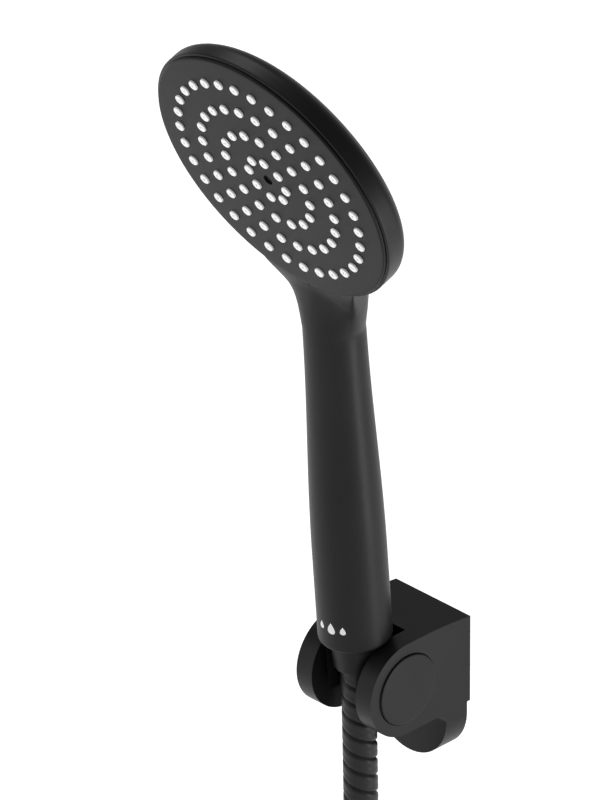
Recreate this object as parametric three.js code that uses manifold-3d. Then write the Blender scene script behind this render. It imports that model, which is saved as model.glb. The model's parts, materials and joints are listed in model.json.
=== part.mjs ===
// Handheld shower head with its tilting wall bracket and its hose, in millimetres, +Z up.
// The origin is on the wall plane, on the centre plane, at the height of the cradle's pivot.
// -Y points out of the wall into the room, and the whole object is symmetric about X = 0.
import * as THREE from "three";
import { mergeVertices } from "three/addons/utils/BufferGeometryUtils.js";
import Module from "manifold-3d";

const wasm = await Module();
wasm.setup();

// ---- driving dimensions ---------------------------------------------------------------------

const GAP = 0.3; // clearance kept between touching pieces

// Hose and its couplings
const HOSE_DIAMETER = 14;
const THREAD_RADIUS = 10.2; // half-inch pipe thread, outside
const COUPLING_WALL = 1.9; // wall of a hose nut
const NUT_SKIRT = 14; // visible length of the conical nut under the handle
const NUT_TAPER = 1.1; // how much the conical nut's radius grows over its skirt
const NUT_HEAD_HEIGHT = 17.2; // top of the nut inside the handle
const END_NUT_WALL = 1.7; // round the thread of the nut at the wall end
const END_NUT_LENGTH = 15;

// Handle
const HANDLE_WALL = 2; // wall round the recess that the nut's head turns in
const HANDLE_SLIMMING = 2.3; // how much the radius drops from the end to the waist
const SLIM_START = 40;
const SLIM_LENGTH = 105;
const RECESS_DEPTH = 18;
const BORE_RADIUS = 10;
const WATER_TUBE_RADIUS = 6;
const WATER_TUBE_WALL = 1.6;
const GLAND_WIDTH = 2.5; // room round the water tube for an O-ring
const GLAND_DEPTH = 5;
const RING_SECTION = 0.9; // radius of an O-ring's section

// Head
const HEAD_RADIUS = 60.3;
const HEAD_WALL = 2.7;
const HEAD_RIM_DEPTH = 9.2;
const HEAD_DOME_DEPTH = 20.3;
const HEAD_TILT = 15; // degrees between the face and the handle's axis
const HEAD_FOOT_HEIGHT = 170.2; // the rim's lowest point, up the handle
const HEAD_FOOT_INSET = 1.1; // how far that point lies behind the handle's front line
const WEB_HALF_WIDTH = 26; // where the web beside the neck meets the rim
const WEB_LENGTH = 34; // how far the web runs down the handle from there
const NECK_BEND_DROP = 30; // how far under the rim the neck's back starts to lean forward
const NECK_BEND_LENGTH = 20;
const END_ROUNDING = 1.5; // of the handle's lower edge
const DOME_WALL = 2.5; // wall of the head's back
const SEAT_WIDTH = 3.6; // step round the cavity that the seal lies on
const PASSAGE_RADIUS = 4.2; // water passage from the tube into the head
const PASSAGE_LEAN = 18; // degrees
const PASSAGE_LENGTH = 32;

// Face
const PLATE_THICKNESS = 2;
const FACE_DOME = 2.45; // rise of the face's centre over its edge
const NOZZLE_COUNTS = [8, 16, 24, 32];
const INNER_RING_RADIUS = 9.67;
const OUTER_RING_MARGIN = 11.1; // from the outer ring of nozzles to the plate's edge
const FIRST_NOZZLE_ANGLE = 7.5;
const NOZZLE_RADIUS = 2.1;
const NOZZLE_HEIGHT = 1.25; // above the plate
const MAT_THICKNESS = 1.3;
const DISTRIBUTOR_THICKNESS = 2;

// Bracket
const HANDLE_LEAN = 4.74; // degrees off the vertical at rest
const AXIS_FORWARD = 6.5; // from the pivot to the handset's axis
const CRADLE_WALL = 1.05; // beside the top of the nut
const LOBE_RADIUS = 20.4; // round end of the fork's arms
const LOBE_CLEARANCE = 0.4; // between the arms and the handle's end
const PIVOT_DEPTH = 35.35; // from the wall
const BRACKET_WIDTH = 41.3;
const SLOT_BACK = 7.45; // from the slot's back wall to the pivot
const TRUNNION_RADIUS = 5;
const CAP_RADIUS = 15.15;
const CAP_RECESS = 4;
const BLOCK_TOP_AT_WALL = 18.75;
const BLOCK_FOOT_AT_WALL = 19.85;
const BASE_DEPTH = 13.3;
const BASE_CENTRE_DROP = 24.8; // from the pivot down to the centre of the base's round end
const BASE_STANDOFF = 1.65; // the base's rear edge stays off the wall by this much
const BASE_FILLET = 4.7;
const POCKET_DEPTH = 8;
const SHELL_WALL = 3.5; // round the rear pocket
const WALL_PLATE_THICKNESS = 5;
const WALL_SCREW_RADIUS = 2.2;
const WALL_SCREW_HEIGHTS = [10, -28];
const GRUB_RADIUS = 2;
const GRUB_LENGTH = 5.2;
const GRUB_DEPTH = 5;

// Where the hose goes: down from the nut, round a quarter bend and onto the coil
const HOSE_POINTS = [
  [0, -43.4, 18.9],
  [0, -42.35, 6.2],
  [0, -41.6, -10],
  [0, -41.1, -25],
  [0, -40.7, -40],
  [0, -40.4, -55],
  [0, -40.3, -75],
  [0, -40.3, -100],
  [0, -40.3, -125],
  [0, -40.3, -145],
  [0, -40.3, -161.5],
  [1.7, -41.4, -177],
  [6.7, -44.7, -191.5],
  [15.2, -50.3, -204.4],
];
const FLOOR = -230;
const COIL_CENTRE = [0, -149.3];
const COIL_OUTER_TURN = 91; // radius of the first, outermost turn
const COIL_TURNS = 2.3;
const TURN_SPACING = 1.02; // in hose diameters
const COIL_LIFT = 1.5; // the tie's thickness under the turns
const TAIL_CLEARANCE = 1.3; // under the start of the tail
// The last stretch lies on the coil: X, Y and the share of its climb to the nut's level
const TAIL_POINTS = [
  [-49.2, -191.2, 0],
  [-60.7, -181.3, 0.52],
  [-69.3, -168.1, 0.88],
  [-72.6, -157.5, 1],
  [-73, -152.6, 1],
];
const TIE_ANGLE = 10;
const TIE_WIDTH = 8;
const TIE_THICKNESS = 1.2;
const TIE_CLEARANCE = 1.2; // beside the turns

// ---- sizes that follow ----------------------------------------------------------------------

const HOSE_RADIUS = HOSE_DIAMETER / 2;
const NUT_BORE = HOSE_RADIUS + 0.5;
const NUT_FOOT_RADIUS = NUT_BORE + COUPLING_WALL;
const NUT_TOP_RADIUS = NUT_FOOT_RADIUS + NUT_TAPER;
const NUT_HEAD_RADIUS = Math.max(THREAD_RADIUS + GAP + COUPLING_WALL, NUT_TOP_RADIUS);
const END_NUT_RADIUS = THREAD_RADIUS + GAP + END_NUT_WALL;
const RECESS_RADIUS = NUT_HEAD_RADIUS + 0.5;
const HANDLE_RADIUS = RECESS_RADIUS + HANDLE_WALL;
const WAIST_RADIUS = HANDLE_RADIUS - HANDLE_SLIMMING;

const TILT = THREE.MathUtils.degToRad(HEAD_TILT);
const HEAD_FOOT_FORWARD = WAIST_RADIUS - HEAD_FOOT_INSET;
const HEAD_UP = HEAD_FOOT_HEIGHT + HEAD_RADIUS * Math.cos(TILT);
const HEAD_FORWARD = HEAD_FOOT_FORWARD + HEAD_RADIUS * Math.sin(TILT);
const CAVITY_RADIUS = HEAD_RADIUS - HEAD_WALL;
const PLATE_RADIUS = CAVITY_RADIUS - GAP;
const OUTER_RING_RADIUS = PLATE_RADIUS - OUTER_RING_MARGIN;
const PLATE_TOP = -0.1; // at its edge, seen from the plane of the rim
const MAT_TOP = PLATE_TOP - PLATE_THICKNESS - GAP;
const DISTRIBUTOR_TOP = MAT_TOP - MAT_THICKNESS - 0.5;
const DISTRIBUTOR_BOTTOM = DISTRIBUTOR_TOP - DISTRIBUTOR_THICKNESS;
const SEAL_RADIUS = PLATE_RADIUS - 1.5;
const SEAT_LEVEL = DISTRIBUTOR_BOTTOM - 2 * RING_SECTION - 2 * GAP;

const END_ABOVE_PIVOT = LOBE_RADIUS + LOBE_CLEARANCE;
const SEAT_TOP_RADIUS = NUT_TOP_RADIUS + GAP;
const CRADLE_RADIUS = SEAT_TOP_RADIUS + CRADLE_WALL;
const SLOT_HALF = CRADLE_RADIUS + GAP;
const HALF_WIDTH = BRACKET_WIDTH / 2;
const RECESS_FLOOR = HALF_WIDTH - CAP_RECESS;

const COIL_LEVEL = FLOOR + COIL_LIFT + HOSE_RADIUS;
const COIL_INNER_TURN = COIL_OUTER_TURN - COIL_TURNS * TURN_SPACING * HOSE_DIAMETER;
const TAIL_START_LEVEL = COIL_LEVEL + HOSE_DIAMETER + TAIL_CLEARANCE;
const TAIL_END_LEVEL = COIL_LEVEL + HOSE_RADIUS + GAP + END_NUT_RADIUS;
const TAIL_PATH = TAIL_POINTS.map(([x, y, share]) => {
  return [x, y, THREE.MathUtils.lerp(TAIL_START_LEVEL, TAIL_END_LEVEL, share)];
});

// ---- shapes ---------------------------------------------------------------------------------

const AXIS_Z_TO_X = new THREE.Matrix4().makeRotationY(Math.PI / 2);
const SIDE_VIEW = new THREE.Matrix4().makeBasis(
  new THREE.Vector3(0, 1, 0),
  new THREE.Vector3(0, 0, 1),
  new THREE.Vector3(1, 0, 0),
);
const FRONT_VIEW = new THREE.Matrix4().makeBasis(
  new THREE.Vector3(1, 0, 0),
  new THREE.Vector3(0, 0, 1),
  new THREE.Vector3(0, -1, 0),
);

// A solid of revolution about Z. The profile's points are [radius, height], anticlockwise.
function turned(profile, segments = 24) {
  const points = profile.map(([radius, height]) => new THREE.Vector2(radius, height));
  return new THREE.LatheGeometry(points, segments).rotateX(Math.PI / 2);
}

// A ring of revolution: its profile is closed by going back to its first point.
function turnedRing(profile, segments = 24) {
  return turned([...profile, profile[0]], segments);
}

function rod(radius, low, high, segments = 24) {
  return turned([[0, low], [radius, low], [radius, high], [0, high]], segments);
}

function oRing(radius, level, segments = 24) {
  const corners = [0, 1, 2, 3, 4, 5].map((k) => (k * Math.PI) / 3);
  const profile = corners.map((a) => [
    radius + RING_SECTION * Math.cos(a),
    level + RING_SECTION * Math.sin(a),
  ]);
  return turnedRing(profile, segments);
}

function block(low, high) {
  const size = high.map((value, i) => value - low[i]);
  const middle = high.map((value, i) => (value + low[i]) / 2);
  return new THREE.BoxGeometry(...size).translate(...middle);
}

// An outline extruded from start to start + depth along the third axis of a view.
function extruded(shape, start, depth, view, curveSegments = 12) {
  const settings = { depth, bevelEnabled: false, curveSegments };
  const geometry = new THREE.ExtrudeGeometry(shape, settings).translate(0, 0, start);
  return view ? geometry.applyMatrix4(view) : geometry;
}

function polygon(radius, sides, x = 0, y = 0) {
  const points = [];
  for (let k = 0; k < sides; k++) {
    const angle = (2 * Math.PI * k) / sides;
    points.push(new THREE.Vector2(x + radius * Math.cos(angle), y + radius * Math.sin(angle)));
  }
  return points;
}

// A closed skin over rings of points, all of one length and anticlockwise seen from the last.
function lofted(rings) {
  const count = rings[0].length;
  const last = (rings.length - 1) * count;
  const index = [];
  for (let start = 0; start < last; start += count) {
    for (let j = 0; j < count; j++) {
      const a = start + j;
      const b = start + ((j + 1) % count);
      index.push(a, b, b + count, a, b + count, a + count);
    }
  }
  for (let j = 1; j + 1 < count; j++) {
    index.push(0, j + 1, j, last, last + j, last + j + 1);
  }
  const positions = rings.flat().flatMap((point) => point.toArray());
  const geometry = new THREE.BufferGeometry();
  geometry.setAttribute("position", new THREE.Float32BufferAttribute(positions, 3));
  return geometry.setIndex(index);
}

function solidOf(geometry) {
  const bare = geometry.index ? geometry.toNonIndexed() : geometry.clone();
  bare.deleteAttribute("normal");
  bare.deleteAttribute("uv");
  const merged = mergeVertices(bare, 1e-4);
  const mesh = new wasm.Mesh({
    numProp: 3,
    vertProperties: merged.attributes.position.array,
    triVerts: new Uint32Array(merged.index.array),
  });
  return new wasm.Manifold(mesh);
}

function geometryOf(solid) {
  const mesh = solid.getMesh();
  const positions = new Float32Array(mesh.vertProperties);
  const geometry = new THREE.BufferGeometry();
  geometry.setAttribute("position", new THREE.BufferAttribute(positions, 3));
  geometry.setIndex(new THREE.BufferAttribute(new Uint32Array(mesh.triVerts), 1));
  geometry.computeVertexNormals();
  return geometry;
}

function joined(first, ...others) {
  return others.reduce((solid, geometry) => solid.add(solidOf(geometry)), first);
}

function cut(first, ...others) {
  return others.reduce((solid, geometry) => solid.subtract(solidOf(geometry)), first);
}

const FINISHES = {
  body: { color: 0x2b2b2d, roughness: 0.55, metalness: 0 },
  face: { color: 0x333335, roughness: 0.5, metalness: 0 },
  silicone: { color: 0xf0f0ee, roughness: 0.6, metalness: 0 },
  inner: { color: 0x8e9296, roughness: 0.6, metalness: 0 },
  rubber: { color: 0x1a1a1a, roughness: 0.8, metalness: 0 },
  steel: { color: 0xb4b6b8, roughness: 0.35, metalness: 1 },
  brass: { color: 0xb09050, roughness: 0.4, metalness: 1 },
  hose: { color: 0x242426, roughness: 0.6, metalness: 0 },
};

function piece(name, shape, finish) {
  const geometry = shape.isBufferGeometry ? shape : geometryOf(shape);
  const mesh = new THREE.Mesh(geometry, new THREE.MeshStandardMaterial(FINISHES[finish]));
  mesh.name = name;
  return mesh;
}

// ---- handle, neck and head cup: one moulding ------------------------------------------------

// The handle's radius at a height: full at its end, slimming along half a cosine wave.
function handleRadius(height) {
  const share = THREE.MathUtils.clamp((height - SLIM_START) / SLIM_LENGTH, 0, 1);
  return WAIST_RADIUS + (HANDLE_SLIMMING * (1 + Math.cos(Math.PI * share))) / 2;
}

function faceForward(height) {
  return HEAD_FOOT_FORWARD + (height - HEAD_FOOT_HEIGHT) * Math.tan(TILT);
}

// How far the neck's back has leaned forward at a height: it bends, then follows the face.
function backLean(height) {
  const start = HEAD_FOOT_HEIGHT - NECK_BEND_DROP;
  const run = THREE.MathUtils.clamp(height - start, 0, NECK_BEND_LENGTH);
  const past = Math.max(height - start - NECK_BEND_LENGTH, 0);
  return (run ** 2 / (2 * NECK_BEND_LENGTH) + past) * Math.tan(TILT);
}

// A level section of the handle or neck: an ellipse between its front and its back.
function neckSection(height, shrink = 0) {
  const radius = handleRadius(height) - shrink;
  const bendStart = HEAD_FOOT_HEIGHT - NECK_BEND_DROP;
  const inset = THREE.MathUtils.smoothstep(height, bendStart, HEAD_FOOT_HEIGHT);
  const onHandle = radius - HEAD_FOOT_INSET * inset;
  const front = height < HEAD_FOOT_HEIGHT ? onHandle : faceForward(height) - GAP;
  const back = radius - backLean(height);
  const sides = 24;
  const ring = [];
  for (let k = 0; k < sides; k++) {
    const angle = (2 * Math.PI * k) / sides;
    const y = ((front + back) * Math.sin(angle) - (front - back)) / 2;
    ring.push(new THREE.Vector3(radius * Math.cos(angle), y, height));
  }
  return ring;
}

function neckSkin() {
  const rings = [
    neckSection(0, END_ROUNDING),
    neckSection(0.3 * END_ROUNDING, 0.4 * END_ROUNDING),
    neckSection(END_ROUNDING),
  ];
  const slimEnd = SLIM_START + SLIM_LENGTH;
  for (let step = 0; step <= 6; step++) {
    rings.push(neckSection(SLIM_START + (SLIM_LENGTH * step) / 6));
  }
  const top = HEAD_UP - 0.4 * HEAD_RADIUS;
  const steps = 14;
  for (let step = 1; step <= steps; step++) {
    rings.push(neckSection(slimEnd + ((top - slimEnd) * step) / steps));
  }
  return lofted(rings);
}

// The web on both sides of the neck, as deep as the rim, in the plane of the face: its edge is
// a parabola that leaves the handle and meets the rim's circle.
function neckWeb() {
  const reach = WEB_HALF_WIDTH / HEAD_RADIUS;
  const rimLevel = -HEAD_RADIUS * Math.sqrt(1 - reach ** 2);
  const edge = [];
  const steps = 8;
  for (let step = 0; step <= steps; step++) {
    const share = step / steps;
    const width = WAIST_RADIUS + (WEB_HALF_WIDTH - WAIST_RADIUS) * share ** 2;
    edge.push(new THREE.Vector2(width, rimLevel - WEB_LENGTH * (1 - share)));
  }
  edge.push(new THREE.Vector2(WEB_HALF_WIDTH, rimLevel + WEB_HALF_WIDTH / 2));
  const mirrored = edge.map((point) => new THREE.Vector2(-point.x, point.y)).reverse();
  const shape = new THREE.Shape([...edge, ...mirrored]);
  return inHead(extruded(shape, -HEAD_RIM_DEPTH, HEAD_RIM_DEPTH - GAP));
}

// Head pieces are made in the head's own frame: Z out of the face, Y up the face.
function inHead(geometry) {
  return geometry.rotateX(Math.PI / 2 + TILT).translate(0, -HEAD_FORWARD, HEAD_UP);
}

function headCup() {
  const profile = [
    [0, -HEAD_DOME_DEPTH],
    [0.35 * HEAD_RADIUS, -HEAD_DOME_DEPTH + 0.9],
    [0.65 * HEAD_RADIUS, -HEAD_DOME_DEPTH + 2.9],
    [0.86 * HEAD_RADIUS, -HEAD_DOME_DEPTH + 5.6],
    [0.97 * HEAD_RADIUS, -HEAD_RIM_DEPTH - 2.4],
    [HEAD_RADIUS, -HEAD_RIM_DEPTH],
    [HEAD_RADIUS, -1],
    [HEAD_RADIUS - 0.7, 0],
    [0, 0],
  ];
  return inHead(turned(profile, 64));
}

function headCavity() {
  const chamber = CAVITY_RADIUS - SEAT_WIDTH;
  const profile = [
    [0, -HEAD_DOME_DEPTH + DOME_WALL],
    [0.62 * HEAD_RADIUS, -HEAD_DOME_DEPTH + DOME_WALL + 2.7],
    [chamber, -HEAD_RIM_DEPTH - 1.5],
    [chamber, SEAT_LEVEL],
    [CAVITY_RADIUS, SEAT_LEVEL],
    [CAVITY_RADIUS, 4],
    [0, 4],
  ];
  return inHead(turned(profile, 64));
}

const TUBE_TOP = HEAD_FOOT_HEIGHT - 10;
const GLAND_LEVEL = TUBE_TOP - 2 * GLAND_DEPTH;
const TUBE_BORE = WATER_TUBE_RADIUS + 0.4;
const GLAND_RADIUS = WATER_TUBE_RADIUS + GLAND_WIDTH;

function handleBore() {
  const profile = [
    [0, -5],
    [RECESS_RADIUS, -5],
    [RECESS_RADIUS, RECESS_DEPTH],
    [BORE_RADIUS, RECESS_DEPTH],
    [BORE_RADIUS, GLAND_LEVEL],
    [GLAND_RADIUS, GLAND_LEVEL],
    [GLAND_RADIUS, GLAND_LEVEL + GLAND_DEPTH],
    [TUBE_BORE, GLAND_LEVEL + GLAND_DEPTH],
    [TUBE_BORE, TUBE_TOP + 1],
    [0, TUBE_TOP + 1],
  ];
  return turned(profile);
}

// The slanting passage from the top of the tube into the head's chamber.
function waterPassage() {
  const passage = rod(PASSAGE_RADIUS, 0, PASSAGE_LENGTH, 16);
  return passage.rotateX(THREE.MathUtils.degToRad(PASSAGE_LEAN)).translate(0, 0, TUBE_TOP - 2);
}

const SCREW_SHANK = 1.1; // radius
const SCREW_HEAD = 1.8; // radius
const SCREW_HEAD_HEIGHT = 1.2;
const SCREW_INSET = 0.8; // from the face's centre down to the screw's head
const SCREW_HOLE_FLOOR = -HEAD_DOME_DEPTH + 5;
const BOSS_RADIUS = 4;

function bodyShell() {
  const outside = joined(solidOf(neckSkin()), headCup(), neckWeb());
  const hollow = cut(outside, handleBore(), headCavity(), waterPassage());
  const boss = inHead(rod(BOSS_RADIUS, -HEAD_DOME_DEPTH + 1, DISTRIBUTOR_BOTTOM - GAP, 12));
  const hole = inHead(rod(SCREW_SHANK + GAP, SCREW_HOLE_FLOOR, 0, 12));
  return cut(joined(hollow, boss), hole);
}

// ---- face -----------------------------------------------------------------------------------

// Lifts the vertices on a flat disc's front onto the shallow dome of the face.
function domed(geometry) {
  const position = geometry.attributes.position;
  for (let i = 0; i < position.count; i++) {
    if (position.getZ(i) < PLATE_TOP - GAP) continue;
    const share = Math.hypot(position.getX(i), position.getY(i)) / PLATE_RADIUS;
    position.setZ(i, position.getZ(i) + FACE_DOME * (1 - share ** 2));
  }
  return geometry;
}

function nozzlePlaces() {
  const step = (OUTER_RING_RADIUS - INNER_RING_RADIUS) / (NOZZLE_COUNTS.length - 1);
  return NOZZLE_COUNTS.flatMap((count, ring) => {
    const radius = INNER_RING_RADIUS + ring * step;
    const places = [];
    for (let k = 0; k < count; k++) {
      const angle = THREE.MathUtils.degToRad(FIRST_NOZZLE_ANGLE + (360 * k) / count);
      places.push([radius * Math.sin(angle), radius * Math.cos(angle)]);
    }
    return places;
  });
}

const NOZZLE_SIDES = 6;
const NOZZLE_HOLE = (NOZZLE_RADIUS + GAP) / Math.cos(Math.PI / NOZZLE_SIDES);

function sprayPlate() {
  const shape = new THREE.Shape(polygon(PLATE_RADIUS, 64));
  for (const [x, y] of nozzlePlaces()) {
    shape.holes.push(new THREE.Path(polygon(NOZZLE_HOLE, NOZZLE_SIDES, x, y)));
  }
  shape.holes.push(new THREE.Path(polygon(SCREW_HEAD + GAP, 12)));
  return inHead(domed(extruded(shape, PLATE_TOP - PLATE_THICKNESS, PLATE_THICKNESS)));
}

function nozzleMat() {
  const shape = new THREE.Shape(polygon(PLATE_RADIUS - 1, 36));
  shape.holes.push(new THREE.Path(polygon(SCREW_HEAD + GAP, 12)));
  let mat = solidOf(extruded(shape, MAT_TOP - MAT_THICKNESS, MAT_THICKNESS));
  const foot = MAT_TOP - MAT_THICKNESS / 2;
  const tip = PLATE_TOP + NOZZLE_HEIGHT;
  for (const [x, y] of nozzlePlaces()) {
    const profile = [[0, foot], [NOZZLE_RADIUS, foot], [NOZZLE_RADIUS - GAP, tip], [0, tip]];
    mat = joined(mat, turned(profile, NOZZLE_SIDES).translate(x, y, 0));
  }
  return inHead(domed(geometryOf(mat)));
}

function distributor() {
  const shape = new THREE.Shape(polygon(PLATE_RADIUS, 48));
  shape.holes.push(new THREE.Path(polygon(SCREW_SHANK + GAP, 12)));
  const ports = 12;
  const portRadius = 3;
  for (let k = 0; k < ports; k++) {
    const angle = (2 * Math.PI * k) / ports;
    const reach = k % 2 ? 0.65 * OUTER_RING_RADIUS : 0.35 * OUTER_RING_RADIUS;
    const [x, y] = [reach * Math.cos(angle), reach * Math.sin(angle)];
    shape.holes.push(new THREE.Path(polygon(portRadius, 10, x, y)));
  }
  return inHead(extruded(shape, DISTRIBUTOR_BOTTOM, DISTRIBUTOR_THICKNESS));
}

function faceScrew() {
  const top = PLATE_TOP + FACE_DOME - SCREW_INSET;
  const tip = SCREW_HOLE_FLOOR + 0.4;
  const profile = [
    [0, tip],
    [SCREW_SHANK, tip],
    [SCREW_SHANK, top - SCREW_HEAD_HEIGHT],
    [SCREW_HEAD, top - SCREW_HEAD_HEIGHT],
    [SCREW_HEAD, top],
    [0, top],
  ];
  return inHead(turned(profile, 16));
}

function headSeal() {
  return inHead(oRing(SEAL_RADIUS, SEAT_LEVEL + RING_SECTION + GAP, 36));
}

// ---- water way inside the handle ------------------------------------------------------------

const STUB_FOOT = 8.2;
const STUB_TOP = RECESS_DEPTH + 14;
const TUBE_FOOT = RECESS_DEPTH + 6.5;
const REGULATOR_RADIUS = 7;
const REGULATOR_DEPTH = 6; // of its seat in the stub
const SCREEN_RADIUS = 4.5;
const SHOULDER_BORE = 5;

function inletStub() {
  return turnedRing([
    [SHOULDER_BORE, STUB_FOOT + REGULATOR_DEPTH],
    [REGULATOR_RADIUS + GAP, STUB_FOOT + REGULATOR_DEPTH],
    [REGULATOR_RADIUS + GAP, STUB_FOOT],
    [THREAD_RADIUS, STUB_FOOT],
    [THREAD_RADIUS, RECESS_DEPTH - GAP],
    [BORE_RADIUS - GAP, RECESS_DEPTH - GAP],
    [BORE_RADIUS - GAP, STUB_TOP],
    [GLAND_RADIUS, STUB_TOP],
    [GLAND_RADIUS, STUB_TOP - GLAND_DEPTH],
    [WATER_TUBE_RADIUS + GAP, STUB_TOP - GLAND_DEPTH],
    [WATER_TUBE_RADIUS + GAP, TUBE_FOOT - GAP],
    [WATER_TUBE_RADIUS - WATER_TUBE_WALL, TUBE_FOOT - GAP],
    [WATER_TUBE_RADIUS - WATER_TUBE_WALL, STUB_FOOT + REGULATOR_DEPTH],
  ]);
}

function waterTube() {
  const inside = WATER_TUBE_RADIUS - WATER_TUBE_WALL;
  return turnedRing([
    [inside, TUBE_FOOT],
    [WATER_TUBE_RADIUS, TUBE_FOOT],
    [WATER_TUBE_RADIUS, TUBE_TOP],
    [inside, TUBE_TOP],
  ]);
}

function tubeRing(level) {
  return oRing(WATER_TUBE_RADIUS + GLAND_WIDTH / 2, level);
}

function flowRegulator() {
  const orifice = 1.5;
  const floor = STUB_FOOT + 2.5;
  const top = STUB_FOOT + REGULATOR_DEPTH - 0.5;
  return turnedRing([
    [orifice, STUB_FOOT + GAP],
    [REGULATOR_RADIUS, STUB_FOOT + GAP],
    [REGULATOR_RADIUS, top],
    [SCREEN_RADIUS, top],
    [SCREEN_RADIUS, floor],
    [orifice, floor],
  ]);
}

const FERRULE_SEAT = 3.5;
const FERRULE_FLANGE = 1.8;
const WASHER_FOOT = FERRULE_SEAT + GAP + FERRULE_FLANGE + GAP;
const SEAT_RADIUS = THREAD_RADIUS - 0.3; // of the washers and the ferrules' flanges

function filterWasher() {
  const top = STUB_FOOT - GAP;
  const [screenFoot, screenTop] = [WASHER_FOOT + 0.7, WASHER_FOOT + 1.1];
  return turned([
    [0, screenFoot],
    [SCREEN_RADIUS, screenFoot],
    [SCREEN_RADIUS, WASHER_FOOT],
    [SEAT_RADIUS, WASHER_FOOT],
    [SEAT_RADIUS, top],
    [SCREEN_RADIUS, top],
    [SCREEN_RADIUS, screenTop],
    [0, screenTop],
  ]);
}

// ---- hose, its ferrules and nuts ------------------------------------------------------------

function conicalNut() {
  return turnedRing([
    [NUT_BORE, -NUT_SKIRT],
    [NUT_FOOT_RADIUS - 0.7, -NUT_SKIRT],
    [NUT_FOOT_RADIUS, -NUT_SKIRT + 0.9],
    [NUT_TOP_RADIUS, 0.4],
    [NUT_TOP_RADIUS, 1],
    [NUT_HEAD_RADIUS, 1.6],
    [NUT_HEAD_RADIUS, NUT_HEAD_HEIGHT],
    [NUT_HEAD_RADIUS - COUPLING_WALL, NUT_HEAD_HEIGHT],
    [NUT_HEAD_RADIUS - COUPLING_WALL, FERRULE_SEAT],
    [NUT_BORE, FERRULE_SEAT],
  ], 36);
}

const FERRULE_BORE = 4.2;

// A crimped end: a neck inside the nut's bore under a flange that the nut pulls on.
function ferrule(foot, seat) {
  return turnedRing([
    [FERRULE_BORE, foot],
    [NUT_BORE - GAP, foot],
    [NUT_BORE - GAP, seat + GAP],
    [SEAT_RADIUS, seat + GAP],
    [SEAT_RADIUS, seat + GAP + FERRULE_FLANGE],
    [FERRULE_BORE, seat + GAP + FERRULE_FLANGE],
  ]);
}

// A round tube through the given points.
function hoseTube(points, steps) {
  const curve = new THREE.CatmullRomCurve3(points.map((point) => new THREE.Vector3(...point)));
  const section = new THREE.Shape(polygon(HOSE_RADIUS, 10));
  return new THREE.ExtrudeGeometry(section, { steps, extrudePath: curve });
}

function hoseCoil() {
  const inner = COIL_INNER_TURN - HOSE_RADIUS;
  const outer = COIL_OUTER_TURN + HOSE_RADIUS;
  const [low, high] = [COIL_LEVEL - HOSE_RADIUS, COIL_LEVEL + HOSE_RADIUS];
  const edge = 3;
  const profile = [
    [inner + edge, low],
    [outer - edge, low],
    [outer, low + edge],
    [outer, high - edge],
    [outer - edge, high],
    [inner + edge, high],
    [inner, high - edge],
    [inner, low + edge],
  ];
  return turnedRing(profile, 40).translate(...COIL_CENTRE, 0);
}

function coilTie() {
  const middle = (COIL_INNER_TURN + COIL_OUTER_TURN) / 2;
  const half = (COIL_OUTER_TURN - COIL_INNER_TURN) / 2 + HOSE_RADIUS + TIE_CLEARANCE;
  const rise = HOSE_RADIUS + GAP;
  const outline = (x, y) => [
    new THREE.Vector2(-x, -y),
    new THREE.Vector2(x, -y),
    new THREE.Vector2(x, y),
    new THREE.Vector2(-x, y),
  ];
  const shape = new THREE.Shape(outline(half + TIE_THICKNESS, rise + TIE_THICKNESS));
  shape.holes.push(new THREE.Path(outline(half, rise)));
  const band = extruded(shape, -TIE_WIDTH / 2, TIE_WIDTH, FRONT_VIEW);
  return band
    .translate(middle, 0, COIL_LEVEL)
    .rotateZ(THREE.MathUtils.degToRad(TIE_ANGLE))
    .translate(...COIL_CENTRE, 0);
}

const END_SEAT = 5;

const END_THREAD_LENGTH = 8; // of the nut's thread past the washer's foot

function endNut() {
  const high = END_SEAT + GAP + FERRULE_FLANGE + 2 * GAP + END_THREAD_LENGTH;
  return turnedRing([
    [NUT_BORE, high - END_NUT_LENGTH],
    [END_NUT_RADIUS - 1.2, high - END_NUT_LENGTH],
    [END_NUT_RADIUS, high - END_NUT_LENGTH + 1.2],
    [END_NUT_RADIUS, high - 0.8],
    [END_NUT_RADIUS - 0.8, high],
    [THREAD_RADIUS + GAP, high],
    [THREAD_RADIUS + GAP, END_SEAT],
    [NUT_BORE, END_SEAT],
  ]);
}

function endWasher() {
  const foot = END_SEAT + GAP + FERRULE_FLANGE + GAP;
  const thickness = 2;
  return turnedRing([
    [SHOULDER_BORE, foot],
    [SEAT_RADIUS, foot],
    [SEAT_RADIUS, foot + thickness],
    [SHOULDER_BORE, foot + thickness],
  ]);
}

// ---- bracket --------------------------------------------------------------------------------

// The side view of the block and the base, in Y and Z.
function bracketSide() {
  const front = -PIVOT_DEPTH;
  const shape = new THREE.Shape();
  shape.moveTo(0, BLOCK_TOP_AT_WALL);
  shape.quadraticCurveTo(-0.4 * PIVOT_DEPTH, LOBE_RADIUS, -0.68 * PIVOT_DEPTH, LOBE_RADIUS);
  shape.absarc(front, 0, LOBE_RADIUS, Math.PI / 2, 1.5 * Math.PI, false);
  const filletCentre = [-BASE_DEPTH - BASE_FILLET, -LOBE_RADIUS - BASE_FILLET];
  shape.absarc(...filletCentre, BASE_FILLET, Math.PI / 2, 0, true);
  const bottom = -BASE_CENTRE_DROP - HALF_WIDTH - 1;
  shape.lineTo(-BASE_DEPTH, bottom);
  shape.lineTo(-BASE_STANDOFF, bottom);
  shape.lineTo(-BASE_STANDOFF, -BLOCK_FOOT_AT_WALL);
  shape.lineTo(0, -BLOCK_FOOT_AT_WALL);
  shape.closePath();
  return shape;
}

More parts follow.
